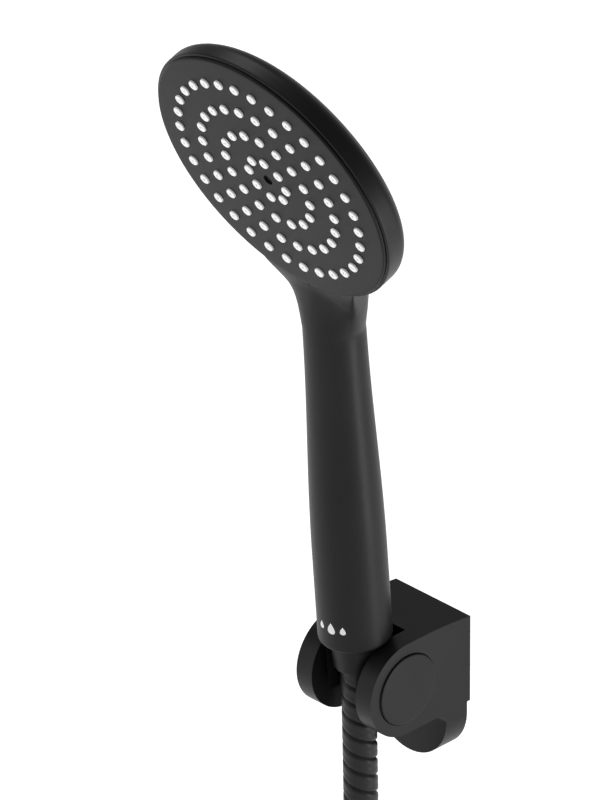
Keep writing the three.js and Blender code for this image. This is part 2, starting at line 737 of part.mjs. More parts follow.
// The front view of the bracket, or of what fits in it: straight sides over a round foot.
function archOutline(halfWidth, top) {
  const shape = new THREE.Shape();
  shape.moveTo(halfWidth, top);
  shape.lineTo(-halfWidth, top);
  shape.absarc(0, -BASE_CENTRE_DROP, halfWidth, Math.PI, 2 * Math.PI, false);
  shape.closePath();
  return shape;
}

const POCKET_HALF = HALF_WIDTH - SHELL_WALL;
const POCKET_TOP = BLOCK_TOP_AT_WALL - SHELL_WALL;

function grubHole() {
  const foot = -BASE_CENTRE_DROP - HALF_WIDTH;
  return rod(GRUB_RADIUS + GAP, foot - 2, foot + 6, 16).translate(0, -GRUB_DEPTH, 0);
}

function bracketBody() {
  const reach = LOBE_RADIUS + 10; // past the arms on every side
  const profile = extruded(bracketSide(), -HALF_WIDTH, BRACKET_WIDTH, SIDE_VIEW, 20);
  const arch = archOutline(HALF_WIDTH, reach);
  const front = extruded(arch, -reach, PIVOT_DEPTH + 2 * reach, FRONT_VIEW, 24);
  const slotLow = [-SLOT_HALF, -PIVOT_DEPTH - reach, -reach];
  const slotHigh = [SLOT_HALF, -PIVOT_DEPTH + SLOT_BACK, reach];
  const pocket = extruded(archOutline(POCKET_HALF, POCKET_TOP), -2, POCKET_DEPTH + 2, FRONT_VIEW);
  const whole = solidOf(profile).intersect(solidOf(front));
  let body = cut(whole, block(slotLow, slotHigh), pocket, grubHole());
  for (const side of [-1, 1]) {
    const bore = rod(TRUNNION_RADIUS + GAP, SLOT_HALF - 1, HALF_WIDTH + 1, 24);
    const recess = rod(CAP_RADIUS + GAP, RECESS_FLOOR, HALF_WIDTH + 1, 48);
    body = cut(body, ontoArm(bore, side), ontoArm(recess, side));
  }
  return body;
}

// Lays a solid made about Z on the pivot's axis, pointing out of one arm.
function ontoArm(geometry, side) {
  const flip = side < 0 ? geometry.rotateX(Math.PI) : geometry;
  return flip.applyMatrix4(AXIS_Z_TO_X).translate(0, -PIVOT_DEPTH, 0);
}

function wallPlate() {
  const outline = archOutline(POCKET_HALF - GAP, POCKET_TOP - GAP);
  let plate = solidOf(extruded(outline, 0, WALL_PLATE_THICKNESS, FRONT_VIEW));
  for (const height of WALL_SCREW_HEIGHTS) {
    const hole = turned([
      [0, -1],
      [WALL_SCREW_RADIUS, -1],
      [WALL_SCREW_RADIUS, WALL_PLATE_THICKNESS - 2.2],
      [2 * WALL_SCREW_RADIUS, WALL_PLATE_THICKNESS],
      [2 * WALL_SCREW_RADIUS, WALL_PLATE_THICKNESS + 1],
      [0, WALL_PLATE_THICKNESS + 1],
    ], 20);
    plate = cut(plate, hole.rotateX(Math.PI / 2).translate(0, 0, height));
  }
  return cut(plate, grubHole());
}

function grubScrew() {
  const foot = -BASE_CENTRE_DROP - HALF_WIDTH + 0.4;
  return rod(GRUB_RADIUS, foot, foot + GRUB_LENGTH, 12).translate(0, -GRUB_DEPTH, 0);
}

function pivotCap(side) {
  const inside = CAP_RADIUS - 2.2;
  const face = HALF_WIDTH - 1.6;
  const cap = turned([
    [0, face],
    [inside, face],
    [inside, RECESS_FLOOR + GAP],
    [CAP_RADIUS, RECESS_FLOOR + GAP],
    [CAP_RADIUS, HALF_WIDTH],
    [0, HALF_WIDTH],
  ], 48);
  return ontoArm(cap, side);
}

// ---- cradle, in the frame of the pivot: its axis is X, and Z runs along the handset ---------

const NUT_FOOT_LEVEL = END_ABOVE_PIVOT - NUT_SKIRT;
const CRADLE_TOP = END_ABOVE_PIVOT - 0.7;
const CRADLE_FOOT = -TRUNNION_RADIUS;
const SEAT_LEDGE = NUT_FOOT_LEVEL - GAP;
const SCREW_END = SLOT_HALF - 3;
const WASHER_THICKNESS = 0.8;
const WASHER_RADIUS = TRUNNION_RADIUS + 2.5;
const PIVOT_SCREW_RADIUS = 1.8;
const PIVOT_SCREW_HEAD = 4.5; // radius
const PIVOT_SCREW_HEAD_HEIGHT = 0.7;

function cradleHollow() {
  const throat = HOSE_RADIUS + 1.2;
  return turned([
    [0, CRADLE_FOOT - 5],
    [throat, CRADLE_FOOT - 5],
    [throat, SEAT_LEDGE],
    [NUT_FOOT_RADIUS + GAP, SEAT_LEDGE],
    [SEAT_TOP_RADIUS, CRADLE_TOP],
    [SEAT_TOP_RADIUS, CRADLE_TOP + 5],
    [0, CRADLE_TOP + 5],
  ], 48).translate(0, -AXIS_FORWARD, 0);
}

function cradle() {
  const cup = rod(CRADLE_RADIUS, CRADLE_FOOT, CRADLE_TOP, 48).translate(0, -AXIS_FORWARD, 0);
  const boss = rod(TRUNNION_RADIUS + 1.5, -CRADLE_RADIUS, CRADLE_RADIUS, 24);
  const pin = rod(TRUNNION_RADIUS, -RECESS_FLOOR, RECESS_FLOOR, 24);
  const whole = joined(solidOf(cup), boss.rotateY(Math.PI / 2), pin.rotateY(Math.PI / 2));
  const mouth = HOSE_RADIUS + 0.7;
  const rise = 2 * CRADLE_TOP;
  const low = [-mouth, -AXIS_FORWARD - 2 * CRADLE_RADIUS, -rise];
  const opened = cut(whole, cradleHollow(), block(low, [mouth, -AXIS_FORWARD, rise]));
  const hole = PIVOT_SCREW_RADIUS + GAP;
  const left = rod(hole, -RECESS_FLOOR - 1, -SCREW_END + GAP, 12).rotateY(Math.PI / 2);
  const right = rod(hole, SCREW_END - GAP, RECESS_FLOOR + 1, 12).rotateY(Math.PI / 2);
  return cut(opened, left, right);
}

function pivotWasher(side) {
  const foot = RECESS_FLOOR + GAP;
  const bore = PIVOT_SCREW_RADIUS + 0.4;
  const washer = turnedRing([
    [bore, foot],
    [WASHER_RADIUS, foot],
    [WASHER_RADIUS, foot + WASHER_THICKNESS],
    [bore, foot + WASHER_THICKNESS],
  ], 24);
  return washer.rotateY((side * Math.PI) / 2);
}

function pivotScrew(side) {
  const head = RECESS_FLOOR + WASHER_THICKNESS + 2 * GAP;
  const screw = turned([
    [0, SCREW_END],
    [PIVOT_SCREW_RADIUS, SCREW_END],
    [PIVOT_SCREW_RADIUS, head],
    [PIVOT_SCREW_HEAD, head],
    [PIVOT_SCREW_HEAD, head + PIVOT_SCREW_HEAD_HEIGHT],
    [0, head + PIVOT_SCREW_HEAD_HEIGHT],
  ], 16);
  return screw.rotateY((side * Math.PI) / 2);
}

// ---- the object -----------------------------------------------------------------------------

const shower = new THREE.Group();
shower.add(
  piece("bracket_body", bracketBody(), "body"),
  piece("wall_plate", wallPlate(), "inner"),
  piece("grub_screw", grubScrew(), "steel"),
  piece("pivot_cap_left", pivotCap(-1), "body"),
  piece("pivot_cap_right", pivotCap(1), "body"),
  piece("hose_tube", hoseTube(HOSE_POINTS, 16), "hose"),
  piece("hose_coil", hoseCoil(), "hose"),
  piece("hose_tail", hoseTube(TAIL_PATH, 2), "hose"),
  piece("coil_tie", coilTie(), "rubber"),
);

const onPivot = new THREE.Group();
onPivot.position.y = -PIVOT_DEPTH;
onPivot.rotation.x = THREE.MathUtils.degToRad(HANDLE_LEAN);
onPivot.add(
  piece("cradle", cradle(), "body"),
  piece("pivot_washer_left", pivotWasher(-1), "rubber"),
  piece("pivot_washer_right", pivotWasher(1), "rubber"),
  piece("pivot_screw_left", pivotScrew(-1), "steel"),
  piece("pivot_screw_right", pivotScrew(1), "steel"),
);
shower.add(onPivot);

// The handset's frame starts at the centre of the handle's end, with Z along the handle.
const handset = new THREE.Group();
handset.position.set(0, -AXIS_FORWARD, END_ABOVE_PIVOT);
handset.add(
  piece("body_shell", bodyShell(), "body"),
  piece("spray_plate", sprayPlate(), "face"),
  piece("nozzle_mat", nozzleMat(), "silicone"),
  piece("distributor_plate", distributor(), "inner"),
  piece("head_seal", headSeal(), "rubber"),
  piece("face_screw", faceScrew(), "steel"),
  piece("water_tube", waterTube(), "inner"),
  piece("tube_ring_upper", tubeRing(GLAND_LEVEL + GLAND_DEPTH / 2), "rubber"),
  piece("tube_ring_lower", tubeRing(STUB_TOP - GLAND_DEPTH / 2), "rubber"),
  piece("inlet_stub", inletStub(), "brass"),
  piece("flow_regulator", flowRegulator(), "inner"),
  piece("filter_washer", filterWasher(), "rubber"),
  piece("hose_nut", conicalNut(), "body"),
  piece("hose_ferrule", ferrule(-1, FERRULE_SEAT), "brass"),
);
onPivot.add(handset);

// The wall end of the hose lies on the coil, pointing along the tail.
const wallEnd = new THREE.Group();
const [beforeEnd, tailEnd] = TAIL_PATH.slice(-2).map((point) => new THREE.Vector3(...point));
const tailDirection = tailEnd.clone().sub(beforeEnd).normalize();
wallEnd.quaternion.setFromUnitVectors(new THREE.Vector3(0, 0, 1), tailDirection);
wallEnd.position.copy(tailEnd);
wallEnd.add(
  piece("end_ferrule", ferrule(2 * GAP, END_SEAT), "brass"),
  piece("end_washer", endWasher(), "rubber"),
  piece("end_nut", endNut(), "body"),
);
shower.add(wallEnd);

export default shower;
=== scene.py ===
"""Handheld shower head on a tilting wall bracket, with its hose: surfaces, finishes and stage.

Everything is in metres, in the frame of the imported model: the wall plane is Y = 0, the room is
towards -Y, and the cradle's pivot is at height 0.
"""

import json
import math

import bmesh
import bpy
import numpy as np
from mathutils import Matrix, Vector


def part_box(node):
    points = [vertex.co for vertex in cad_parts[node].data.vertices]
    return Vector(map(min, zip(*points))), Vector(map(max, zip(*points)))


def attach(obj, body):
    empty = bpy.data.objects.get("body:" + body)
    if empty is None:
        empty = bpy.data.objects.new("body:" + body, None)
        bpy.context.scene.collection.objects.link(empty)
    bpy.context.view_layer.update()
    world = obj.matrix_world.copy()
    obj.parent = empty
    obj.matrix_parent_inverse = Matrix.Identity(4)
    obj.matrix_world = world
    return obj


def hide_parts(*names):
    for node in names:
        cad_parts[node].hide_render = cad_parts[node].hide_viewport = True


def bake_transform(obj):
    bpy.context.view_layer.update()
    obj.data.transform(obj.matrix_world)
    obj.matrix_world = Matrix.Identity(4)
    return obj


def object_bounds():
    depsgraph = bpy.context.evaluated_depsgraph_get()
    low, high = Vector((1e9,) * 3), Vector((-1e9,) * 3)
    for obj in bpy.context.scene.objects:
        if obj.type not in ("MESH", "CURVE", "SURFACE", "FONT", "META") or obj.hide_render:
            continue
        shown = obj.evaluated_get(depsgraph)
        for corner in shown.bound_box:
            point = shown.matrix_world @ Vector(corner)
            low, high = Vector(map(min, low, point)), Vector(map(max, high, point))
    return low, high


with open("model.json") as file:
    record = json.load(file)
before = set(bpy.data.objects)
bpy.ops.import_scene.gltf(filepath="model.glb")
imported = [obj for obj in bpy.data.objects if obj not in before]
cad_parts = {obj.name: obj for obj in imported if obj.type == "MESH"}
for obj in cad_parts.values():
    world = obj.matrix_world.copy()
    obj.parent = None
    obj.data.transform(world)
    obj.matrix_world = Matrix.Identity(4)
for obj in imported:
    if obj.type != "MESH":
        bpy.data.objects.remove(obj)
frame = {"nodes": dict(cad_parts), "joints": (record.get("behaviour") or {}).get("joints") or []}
CAD_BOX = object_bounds()

bl_info = {
    "name": "Handheld shower head",
    "version": (1, 0, 0),
    "blender": (4, 5, 0),
    "location": "View3D > Sidebar > Shower",
    "description": "Surfaces and finishes of a handheld shower head, its wall bracket and its hose",
    "category": "Add Mesh",
}

MM = 0.001
JOINTS = {joint["name"]: joint for joint in frame["joints"]}


# ---- sizes and colours that a user would change --------------------------------------------------


def length_property(name, millimetres, description):
    """A length in metres whose default is given in millimetres."""
    return bpy.props.FloatProperty(
        name=name,
        description=description,
        default=millimetres * MM,
        min=0,
        subtype="DISTANCE",
        unit="LENGTH",
        precision=5,
    )


def colour_property(name, value, description):
    """A linear colour, given as one grey level or as three numbers."""
    default = (value, value, value) if isinstance(value, float) else value
    return bpy.props.FloatVectorProperty(
        name=name,
        description=description,
        default=default,
        size=3,
        min=0,
        max=1,
        subtype="COLOR",
    )


class HandsetSizes(bpy.types.PropertyGroup):
    """Driving sizes of the handle, the head and the face."""

    end_radius: length_property("End radius", 14.9, "Handle radius at its lower end")
    waist_radius: length_property("Waist radius", 12.6, "Handle radius under the head")
    slim_start: length_property("Slimming starts", 40, "Height where the handle starts to slim")
    slim_length: length_property("Slimming length", 105, "Length over which the handle slims")
    end_rounding: length_property("End rounding", 1.3, "Rounding of the handle's lower edge")
    recess_radius: length_property("Recess radius", 12.9, "Recess that the nut's head turns in")
    recess_depth: length_property("Recess depth", 18, "Depth of that recess")
    bore_radius: length_property("Bore radius", 10, "Hollow of the handle")
    bore_top: length_property("Bore top", 158, "Height of the hollow's end")
    head_radius: length_property("Head radius", 60.3, "Outer radius of the head")
    head_forward: length_property("Head forward", 27.1, "From the handle's axis to the face centre")
    head_up: length_property("Head height", 228.44, "Height of the face centre")
    rim_depth: length_property("Rim depth", 7.6, "Straight part of the rim's wall")
    dome_depth: length_property("Dome depth", 20.3, "Depth of the back at the head's centre")
    neck_depth: length_property("Neck depth", 18.4, "Depth of the back where the neck joins")
    web_half_width: length_property("Web half width", 26, "Where the web meets the rim")
    web_length: length_property("Web length", 34, "How far the web runs down the handle")
    mouth_radius: length_property("Mouth radius", 57.6, "Opening that the spray plate lies in")
    plate_radius: length_property("Plate radius", 57.3, "Radius of the spray plate")
    plate_overhang: length_property("Plate overhang", 1.7, "How far its front laps over the rim")
    plate_rounding: length_property("Plate rounding", 1, "Rounding of the plate's edge")
    face_rise: length_property("Face rise", 1.35, "Rise of the face's centre over its edge")
    nozzle_radius: length_property("Nozzle radius", 2.25, "Radius of a nozzle at its foot")
    nozzle_height: length_property("Nozzle height", 0.8, "Height of a nozzle over the plate")
    head_tilt: bpy.props.FloatProperty(
        name="Head tilt",
        description="Angle between the face and the handle's axis",
        default=math.radians(15),
        subtype="ANGLE",
        unit="ROTATION",
    )


class HoseSizes(bpy.types.PropertyGroup):
    """Driving sizes of the hose and its nuts."""

    diameter: length_property("Diameter", 14, "Outer diameter of the hose")
    groove_spacing: length_property("Groove spacing", 7.8, "From groove to groove along the hose")
    groove_depth: length_property("Groove depth", 0.75, "Depth of the spiral grooves")
    nut_skirt: length_property("Nut skirt", 14, "Visible length of the conical nut")
    nut_foot_radius: length_property("Nut foot radius", 9.4, "Conical nut at its foot")
    nut_top_radius: length_property("Nut top radius", 10.5, "Conical nut at the handle")
    nut_head_radius: length_property("Nut head radius", 12.4, "Nut inside the handle")
    nut_head_height: length_property("Nut head height", 17.2, "Top of the nut in the handle")
    nut_bore: length_property("Nut bore", 7.5, "Hole of the nuts")
    end_nut_radius: length_property("End nut radius", 12.2, "Knurled nut at the wall end")
    end_nut_length: length_property("End nut length", 15, "Length of that nut")
    declared_length: bpy.props.FloatProperty(
        name="Length",
        description="Length of the hose between its ferrules",
        default=1.5,
        subtype="DISTANCE",
        unit="LENGTH",
    )
    starts: bpy.props.IntProperty(
        name="Groove starts",
        description="Number of spiral grooves side by side",
        default=2,
        min=1,
    )


class BracketSizes(bpy.types.PropertyGroup):
    """Roundings and trim sizes of the bracket."""

    arm_rounding: length_property("Arm rounding", 2.2, "Rounding of the arms' round ends")
    edge_rounding: length_property("Edge rounding", 0.35, "Rounding of all other edges")
    cap_radius: length_property("Cap radius", 15.15, "Radius of the pivot caps")
    cap_rounding: length_property("Cap rounding", 0.8, "Rounding of a cap's edge")
    cap_rise: length_property("Cap rise", 0.8, "How far a cap stands out of its arm")


class Finishes(bpy.types.PropertyGroup):
    """Colours of the finishes, as linear values."""

    moulding: colour_property("Moulding", 0.0075, "Matt black of the bracket and the handle")
    face: colour_property("Face", 0.0085, "Spray plate")
    hose: colour_property("Hose", 0.015, "Hose cover")
    silicone: colour_property("Silicone", 0.95, "Nozzles")
    print_white: colour_property("Print", 0.8, "Printed mark")
    inner: colour_property("Inner plastic", 0.27, "Plastic inside the handset")
    rubber: colour_property("Rubber", 0.006, "Seals, washers and the tie")
    steel: colour_property("Steel", (0.46, 0.47, 0.48), "Screws")
    brass: colour_property("Brass", (0.56, 0.4, 0.16), "Threaded parts")
    floor: colour_property("Floor", 0.92, "Floor of the stage")


# ---- placing and meshing -------------------------------------------------------------------------


def turned_about_x(angle, origin):
    """The frame turned about X by an angle, with its origin moved."""
    return Matrix.Translation(origin) @ Matrix.Rotation(angle, 4, "X")


def frame_along(axis, origin):
    """A frame at origin whose Z axis lies along axis."""
    turn = Vector((0, 0, 1)).rotation_difference(Vector(axis).normalized())
    return Matrix.Translation(origin) @ turn.to_matrix().to_4x4()


def handset_frame():
    """At the centre of the handle's end, Z up the handle."""
    joint = JOINTS["handset_turn"]
    axis = joint["axis"]
    return turned_about_x(math.atan2(-axis[1], axis[2]), joint["pos_m"])


def head_frame(sizes):
    """At the face's centre, Z out of the face and Y up the face."""
    centre = (0, -sizes.head_forward, sizes.head_up)
    return handset_frame() @ turned_about_x(math.pi / 2 + sizes.head_tilt, centre)


def placed(points, matrix):
    """Points taken into the model's frame: the rotation times each point, plus the translation."""
    array = np.array(matrix)
    return np.asarray(points) @ array[:3, :3].T + array[:3, 3]


def grid_faces(rows, columns, close_rows=False, close_columns=False):
    """Quads between neighbouring rows and columns of points that are listed row by row."""
    row = np.arange(rows if close_rows else rows - 1)
    column = np.arange(columns if close_columns else columns - 1)
    row, column = (part.ravel() for part in np.meshgrid(row, column, indexing="ij"))
    next_row = (row + 1) % rows * columns
    next_column = (column + 1) % columns
    row = row * columns
    corners = (row + column, row + next_column, next_row + next_column, next_row + column)
    return np.stack(corners, axis=1)


def new_surface(name, parts, material, sharp=32, weld=MM / 200):
    """A mesh object from (points, faces) parts, welded, with its faces turned outwards."""
    points = np.concatenate([part[0].reshape(-1, 3) for part in parts])
    starts = np.cumsum([0] + [part[0].reshape(-1, 3).shape[0] for part in parts[:-1]])
    faces = []
    for (_, part_faces), start in zip(parts, starts):
        faces.extend((part_faces + start).tolist())
    mesh = bpy.data.meshes.new(name)
    mesh.from_pydata(points.tolist(), [], faces)
    tidy_mesh(mesh, weld)
    mesh.set_sharp_from_angle(angle=math.radians(sharp))
    mesh.materials.append(material)
    piece = bpy.data.objects.new(name, mesh)
    bpy.context.scene.collection.objects.link(piece)
    return piece


def tidy_mesh(mesh, weld):
    """Welds equal points, drops faces without area and turns the rest outwards, smooth shaded."""
    work = bmesh.new()
    work.from_mesh(mesh)
    bmesh.ops.remove_doubles(work, verts=work.verts, dist=weld)
    bmesh.ops.dissolve_degenerate(work, edges=work.edges, dist=weld)
    bmesh.ops.recalc_face_normals(work, faces=work.faces)
    for face in work.faces:
        face.smooth = True
    work.to_mesh(mesh)
    work.free()


def lathe(profile, segments, matrix, closed=False):
    """A profile of (radius, height) turned about Z: x = r cos a, y = r sin a, z = height."""
    profile = np.asarray(profile, float)
    angle = np.linspace(0, 2 * np.pi, segments, endpoint=False)
    x = np.outer(profile[:, 0], np.cos(angle))
    y = np.outer(profile[:, 0], np.sin(angle))
    z = np.repeat(profile[:, 1:2], segments, axis=1)
    points = placed(np.stack((x, y, z), axis=2).reshape(-1, 3), matrix)
    return points, grid_faces(len(profile), segments, closed, True)


def softened(corners, steps=5, closed=False):
    """A profile of (x, y, reach) corners, each swapped for a parabola.

    The parabola starts and ends at reach from the corner: (1-t)^2 a + 2t(1-t) corner + t^2 b.
    """
    corners = np.asarray(corners, float)
    place = corners[:, :2]
    before = np.roll(place, 1, axis=0) - place
    after = np.roll(place, -1, axis=0) - place
    before /= np.maximum(np.linalg.norm(before, axis=1, keepdims=True), 1e-12)
    after /= np.maximum(np.linalg.norm(after, axis=1, keepdims=True), 1e-12)
    reach = corners[:, 2:3].copy()
    if not closed:
        reach[[0, -1]] = 0
    t = np.linspace(0, 1, steps + 1)[None, :, None]
    a = (place + before * reach)[:, None]
    b = (place + after * reach)[:, None]
    curve = (1 - t) ** 2 * a + 2 * t * (1 - t) * place[:, None] + t**2 * b
    kept = [arc if size > 0 else arc[:1] for arc, size in zip(curve, reach[:, 0])]
    return np.concatenate(kept)


def in_metres(corners):
    """Profile corners given in millimetres."""
    return np.asarray(corners, float) * MM


def smoothstep(value):
    """3v^2 - 2v^3 of the value held between 0 and 1."""
    value = np.clip(value, 0, 1)
    return value * value * (3 - 2 * value)


def stand_for(piece, body, slot, *nodes):
    """The piece rides on a body and is shown for CAD nodes, which are hidden. The slot is not used.
    """
    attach(piece, body)
    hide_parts(*nodes)
    return piece


# ---- shader node groups and materials ------------------------------------------------------------


def add_node(tree, kind, place, **settings):
    """A node of a kind at a place in the tree. Settings that name an input set its value."""
    node = tree.nodes.new(kind)
    node.location = place
    for key, value in settings.items():
        setattr(node, key, value)
    return node


def fill_inputs(node, **values):
    """Sets inputs by their names, with underscores for spaces."""
    for key, value in values.items():
        node.inputs[key.replace("_", " ")].default_value = value
    return node


def group_tree(name, inputs, outputs):
    """An empty shader group with named sockets. Inputs are (name, type, default)."""
    tree = bpy.data.node_groups.new(name, "ShaderNodeTree")
    for label, kind, default in inputs:
        socket = tree.interface.new_socket(label, in_out="INPUT", socket_type=kind)
        if default is not None:
            socket.default_value = default
    for label, kind in outputs:
        tree.interface.new_socket(label, in_out="OUTPUT", socket_type=kind)
    start = add_node(tree, "NodeGroupInput", (-900, 0))
    end = add_node(tree, "NodeGroupOutput", (700, 0))
    return tree, start, end


def moulded_grain_group():
    """Spark-eroded texture of moulded plastic.

    Two noises, a fine one and one six times broader, are added into a height; the broad one
    also shifts the roughness and the tone a little.
    """
    tree, start, end = group_tree(
        "Moulded grain",
        [
            ("Scale", "NodeSocketFloat", 2600.0),
            ("Base Color", "NodeSocketColor", (0.02, 0.02, 0.02, 1)),
            ("Tone Shift", "NodeSocketFloat", 0.08),
            ("Roughness", "NodeSocketFloat", 0.5),
            ("Roughness Shift", "NodeSocketFloat", 0.06),
        ],
        [
            ("Color", "NodeSocketColor"),
            ("Roughness", "NodeSocketFloat"),
            ("Height", "NodeSocketFloat"),
        ],
    )
    link = tree.links.new
    place = add_node(tree, "ShaderNodeTexCoord", (-900, 300))
    fine = add_node(tree, "ShaderNodeTexNoise", (-650, 300))
    fill_inputs(fine, Detail=3.0, Roughness=0.55)
    link(place.outputs["Object"], fine.inputs["Vector"])
    link(start.outputs["Scale"], fine.inputs["Scale"])
    sixth = add_node(tree, "ShaderNodeMath", (-650, 60), operation="MULTIPLY")
    sixth.inputs[1].default_value = 1 / 6
    link(start.outputs["Scale"], sixth.inputs[0])
    broad = add_node(tree, "ShaderNodeTexNoise", (-450, 60))
    fill_inputs(broad, Detail=2.0, Roughness=0.5)
    link(place.outputs["Object"], broad.inputs["Vector"])
    link(sixth.outputs[0], broad.inputs["Scale"])
    height = add_node(tree, "ShaderNodeMath", (0, 300), operation="MULTIPLY_ADD")
    height.inputs[1].default_value = 0.35
    link(broad.outputs[0], height.inputs[0])
    link(fine.outputs[0], height.inputs[2])
    link(height.outputs[0], end.inputs["Height"])
    centred = add_node(tree, "ShaderNodeMath", (-200, 60), operation="SUBTRACT")
    centred.inputs[1].default_value = 0.5
    link(broad.outputs[0], centred.inputs[0])
    rough = add_node(tree, "ShaderNodeMath", (200, 60), operation="MULTIPLY_ADD")
    link(centred.outputs[0], rough.inputs[0])
    link(start.outputs["Roughness Shift"], rough.inputs[1])
    link(start.outputs["Roughness"], rough.inputs[2])
    link(rough.outputs[0], end.inputs["Roughness"])
    tone = add_node(tree, "ShaderNodeMath", (200, -150), operation="MULTIPLY_ADD")
    tone.inputs[2].default_value = 1.0
    link(centred.outputs[0], tone.inputs[0])
    link(start.outputs["Tone Shift"], tone.inputs[1])
    shade = add_node(tree, "ShaderNodeVectorMath", (420, -150), operation="SCALE")
    link(start.outputs["Base Color"], shade.inputs[0])
    link(tone.outputs[0], shade.inputs["Scale"])
    link(shade.outputs[0], end.inputs["Color"])
    return tree


def handling_group():
    """Signs of use: faint cloudy wipe marks that dull the surface and lift its tone.

    A broad stretched noise is cut to its upper part; where it is high, the roughness rises and
    the colour moves towards dust.
    """
    tree, start, end = group_tree(
        "Handling marks",
        [
            ("Scale", "NodeSocketFloat", 28.0),
            ("Color", "NodeSocketColor", (0.02, 0.02, 0.02, 1)),
            ("Dust", "NodeSocketColor", (0.2, 0.2, 0.2, 1)),
            ("Roughness", "NodeSocketFloat", 0.5),
            ("Amount", "NodeSocketFloat", 0.02),
        ],
        [("Color", "NodeSocketColor"), ("Roughness", "NodeSocketFloat")],
    )
    link = tree.links.new
    place = add_node(tree, "ShaderNodeTexCoord", (-900, 300))
    stretch = add_node(tree, "ShaderNodeMapping", (-720, 300))
    stretch.inputs["Scale"].default_value = (1.0, 1.0, 0.4)
    link(place.outputs["Object"], stretch.inputs["Vector"])
    cloud = add_node(tree, "ShaderNodeTexNoise", (-520, 300))
    fill_inputs(cloud, Detail=5.0, Roughness=0.62)
    link(stretch.outputs[0], cloud.inputs["Vector"])
    link(start.outputs["Scale"], cloud.inputs["Scale"])
    upper = add_node(tree, "ShaderNodeMapRange", (-320, 300))
    fill_inputs(upper, From_Min=0.48, From_Max=0.72)
    link(cloud.outputs[0], upper.inputs["Value"])
    mask = add_node(tree, "ShaderNodeMath", (-120, 300), operation="MULTIPLY")
    link(upper.outputs[0], mask.inputs[0])
    link(start.outputs["Amount"], mask.inputs[1])
    tint = add_node(tree, "ShaderNodeMix", (150, 200), data_type="RGBA")
    link(mask.outputs[0], tint.inputs["Factor"])
    link(start.outputs["Color"], tint.inputs[6])
    link(start.outputs["Dust"], tint.inputs[7])
    link(tint.outputs[2], end.inputs["Color"])
    rough = add_node(tree, "ShaderNodeMath", (150, -50), operation="ADD")
    link(mask.outputs[0], rough.inputs[0])
    link(start.outputs["Roughness"], rough.inputs[1])
    link(rough.outputs[0], end.inputs["Roughness"])
    return tree


def shared_group(name, make):
    """A node group by name, made the first time it is asked for."""
    return bpy.data.node_groups.get(name) or make()


def opaque(colour):
    """A colour with full alpha."""
    return (*colour, 1.0)


def new_material(name):
    """A material with its Principled shader."""
    material = bpy.data.materials.new(name)
    material.use_nodes = True
    return material, material.node_tree, material.node_tree.nodes["Principled BSDF"]


def plastic(name, colour, roughness=0.5, specular=0.5, grain=2600.0, relief=0.02, marks=0.02):
    """Moulded plastic or rubber: grain and handling marks drive colour, roughness and bump."""
    material, tree, shader = new_material(name)
    link = tree.links.new
    grained = add_node(tree, "ShaderNodeGroup", (-700, 200))
    grained.node_tree = shared_group("Moulded grain", moulded_grain_group)
    fill_inputs(grained, Scale=grain, Base_Color=opaque(colour), Roughness=roughness)
    handled = add_node(tree, "ShaderNodeGroup", (-450, 200))
    handled.node_tree = shared_group("Handling marks", handling_group)
    fill_inputs(handled, Amount=marks)
    link(grained.outputs["Color"], handled.inputs["Color"])
    link(grained.outputs["Roughness"], handled.inputs["Roughness"])
    link(handled.outputs["Color"], shader.inputs["Base Color"])
    link(handled.outputs["Roughness"], shader.inputs["Roughness"])
    bump = add_node(tree, "ShaderNodeBump", (-220, -120))
    fill_inputs(bump, Strength=0.35, Distance=relief * MM)
    link(grained.outputs["Height"], bump.inputs["Height"])
    link(bump.outputs["Normal"], shader.inputs["Normal"])
    fill_inputs(shader, Specular_IOR_Level=specular)
    return material


def machined_metal(name, colour, roughness):
    """Turned metal: fine streaks from a noise stretched along Y shift colour and roughness."""
    material, tree, shader = new_material(name)
    link = tree.links.new
    place = add_node(tree, "ShaderNodeTexCoord", (-900, 0))
    stretch = add_node(tree, "ShaderNodeMapping", (-720, 0))
    stretch.inputs["Scale"].default_value = (1.0, 0.05, 1.0)
    link(place.outputs["Object"], stretch.inputs["Vector"])
    streaks = add_node(tree, "ShaderNodeTexNoise", (-520, 0))
    fill_inputs(streaks, Scale=3000.0, Detail=4.0)
    link(stretch.outputs[0], streaks.inputs["Vector"])
    ramp = add_node(tree, "ShaderNodeMapRange", (-320, -100))
    fill_inputs(ramp, To_Min=roughness - 0.08, To_Max=roughness + 0.1)
    link(streaks.outputs[0], ramp.inputs["Value"])
    link(ramp.outputs[0], shader.inputs["Roughness"])
    tint = add_node(tree, "ShaderNodeMix", (-320, 150), data_type="RGBA")
    tint.inputs[6].default_value = opaque([0.8 * level for level in colour])
    tint.inputs[7].default_value = opaque(colour)
    link(streaks.outputs[0], tint.inputs["Factor"])
    link(tint.outputs[2], shader.inputs["Base Color"])
    bump = add_node(tree, "ShaderNodeBump", (-320, -350))
    fill_inputs(bump, Strength=0.2, Distance=0.01 * MM)
    link(streaks.outputs[0], bump.inputs["Height"])
    link(bump.outputs["Normal"], shader.inputs["Normal"])
    fill_inputs(shader, Metallic=1.0)
    return material


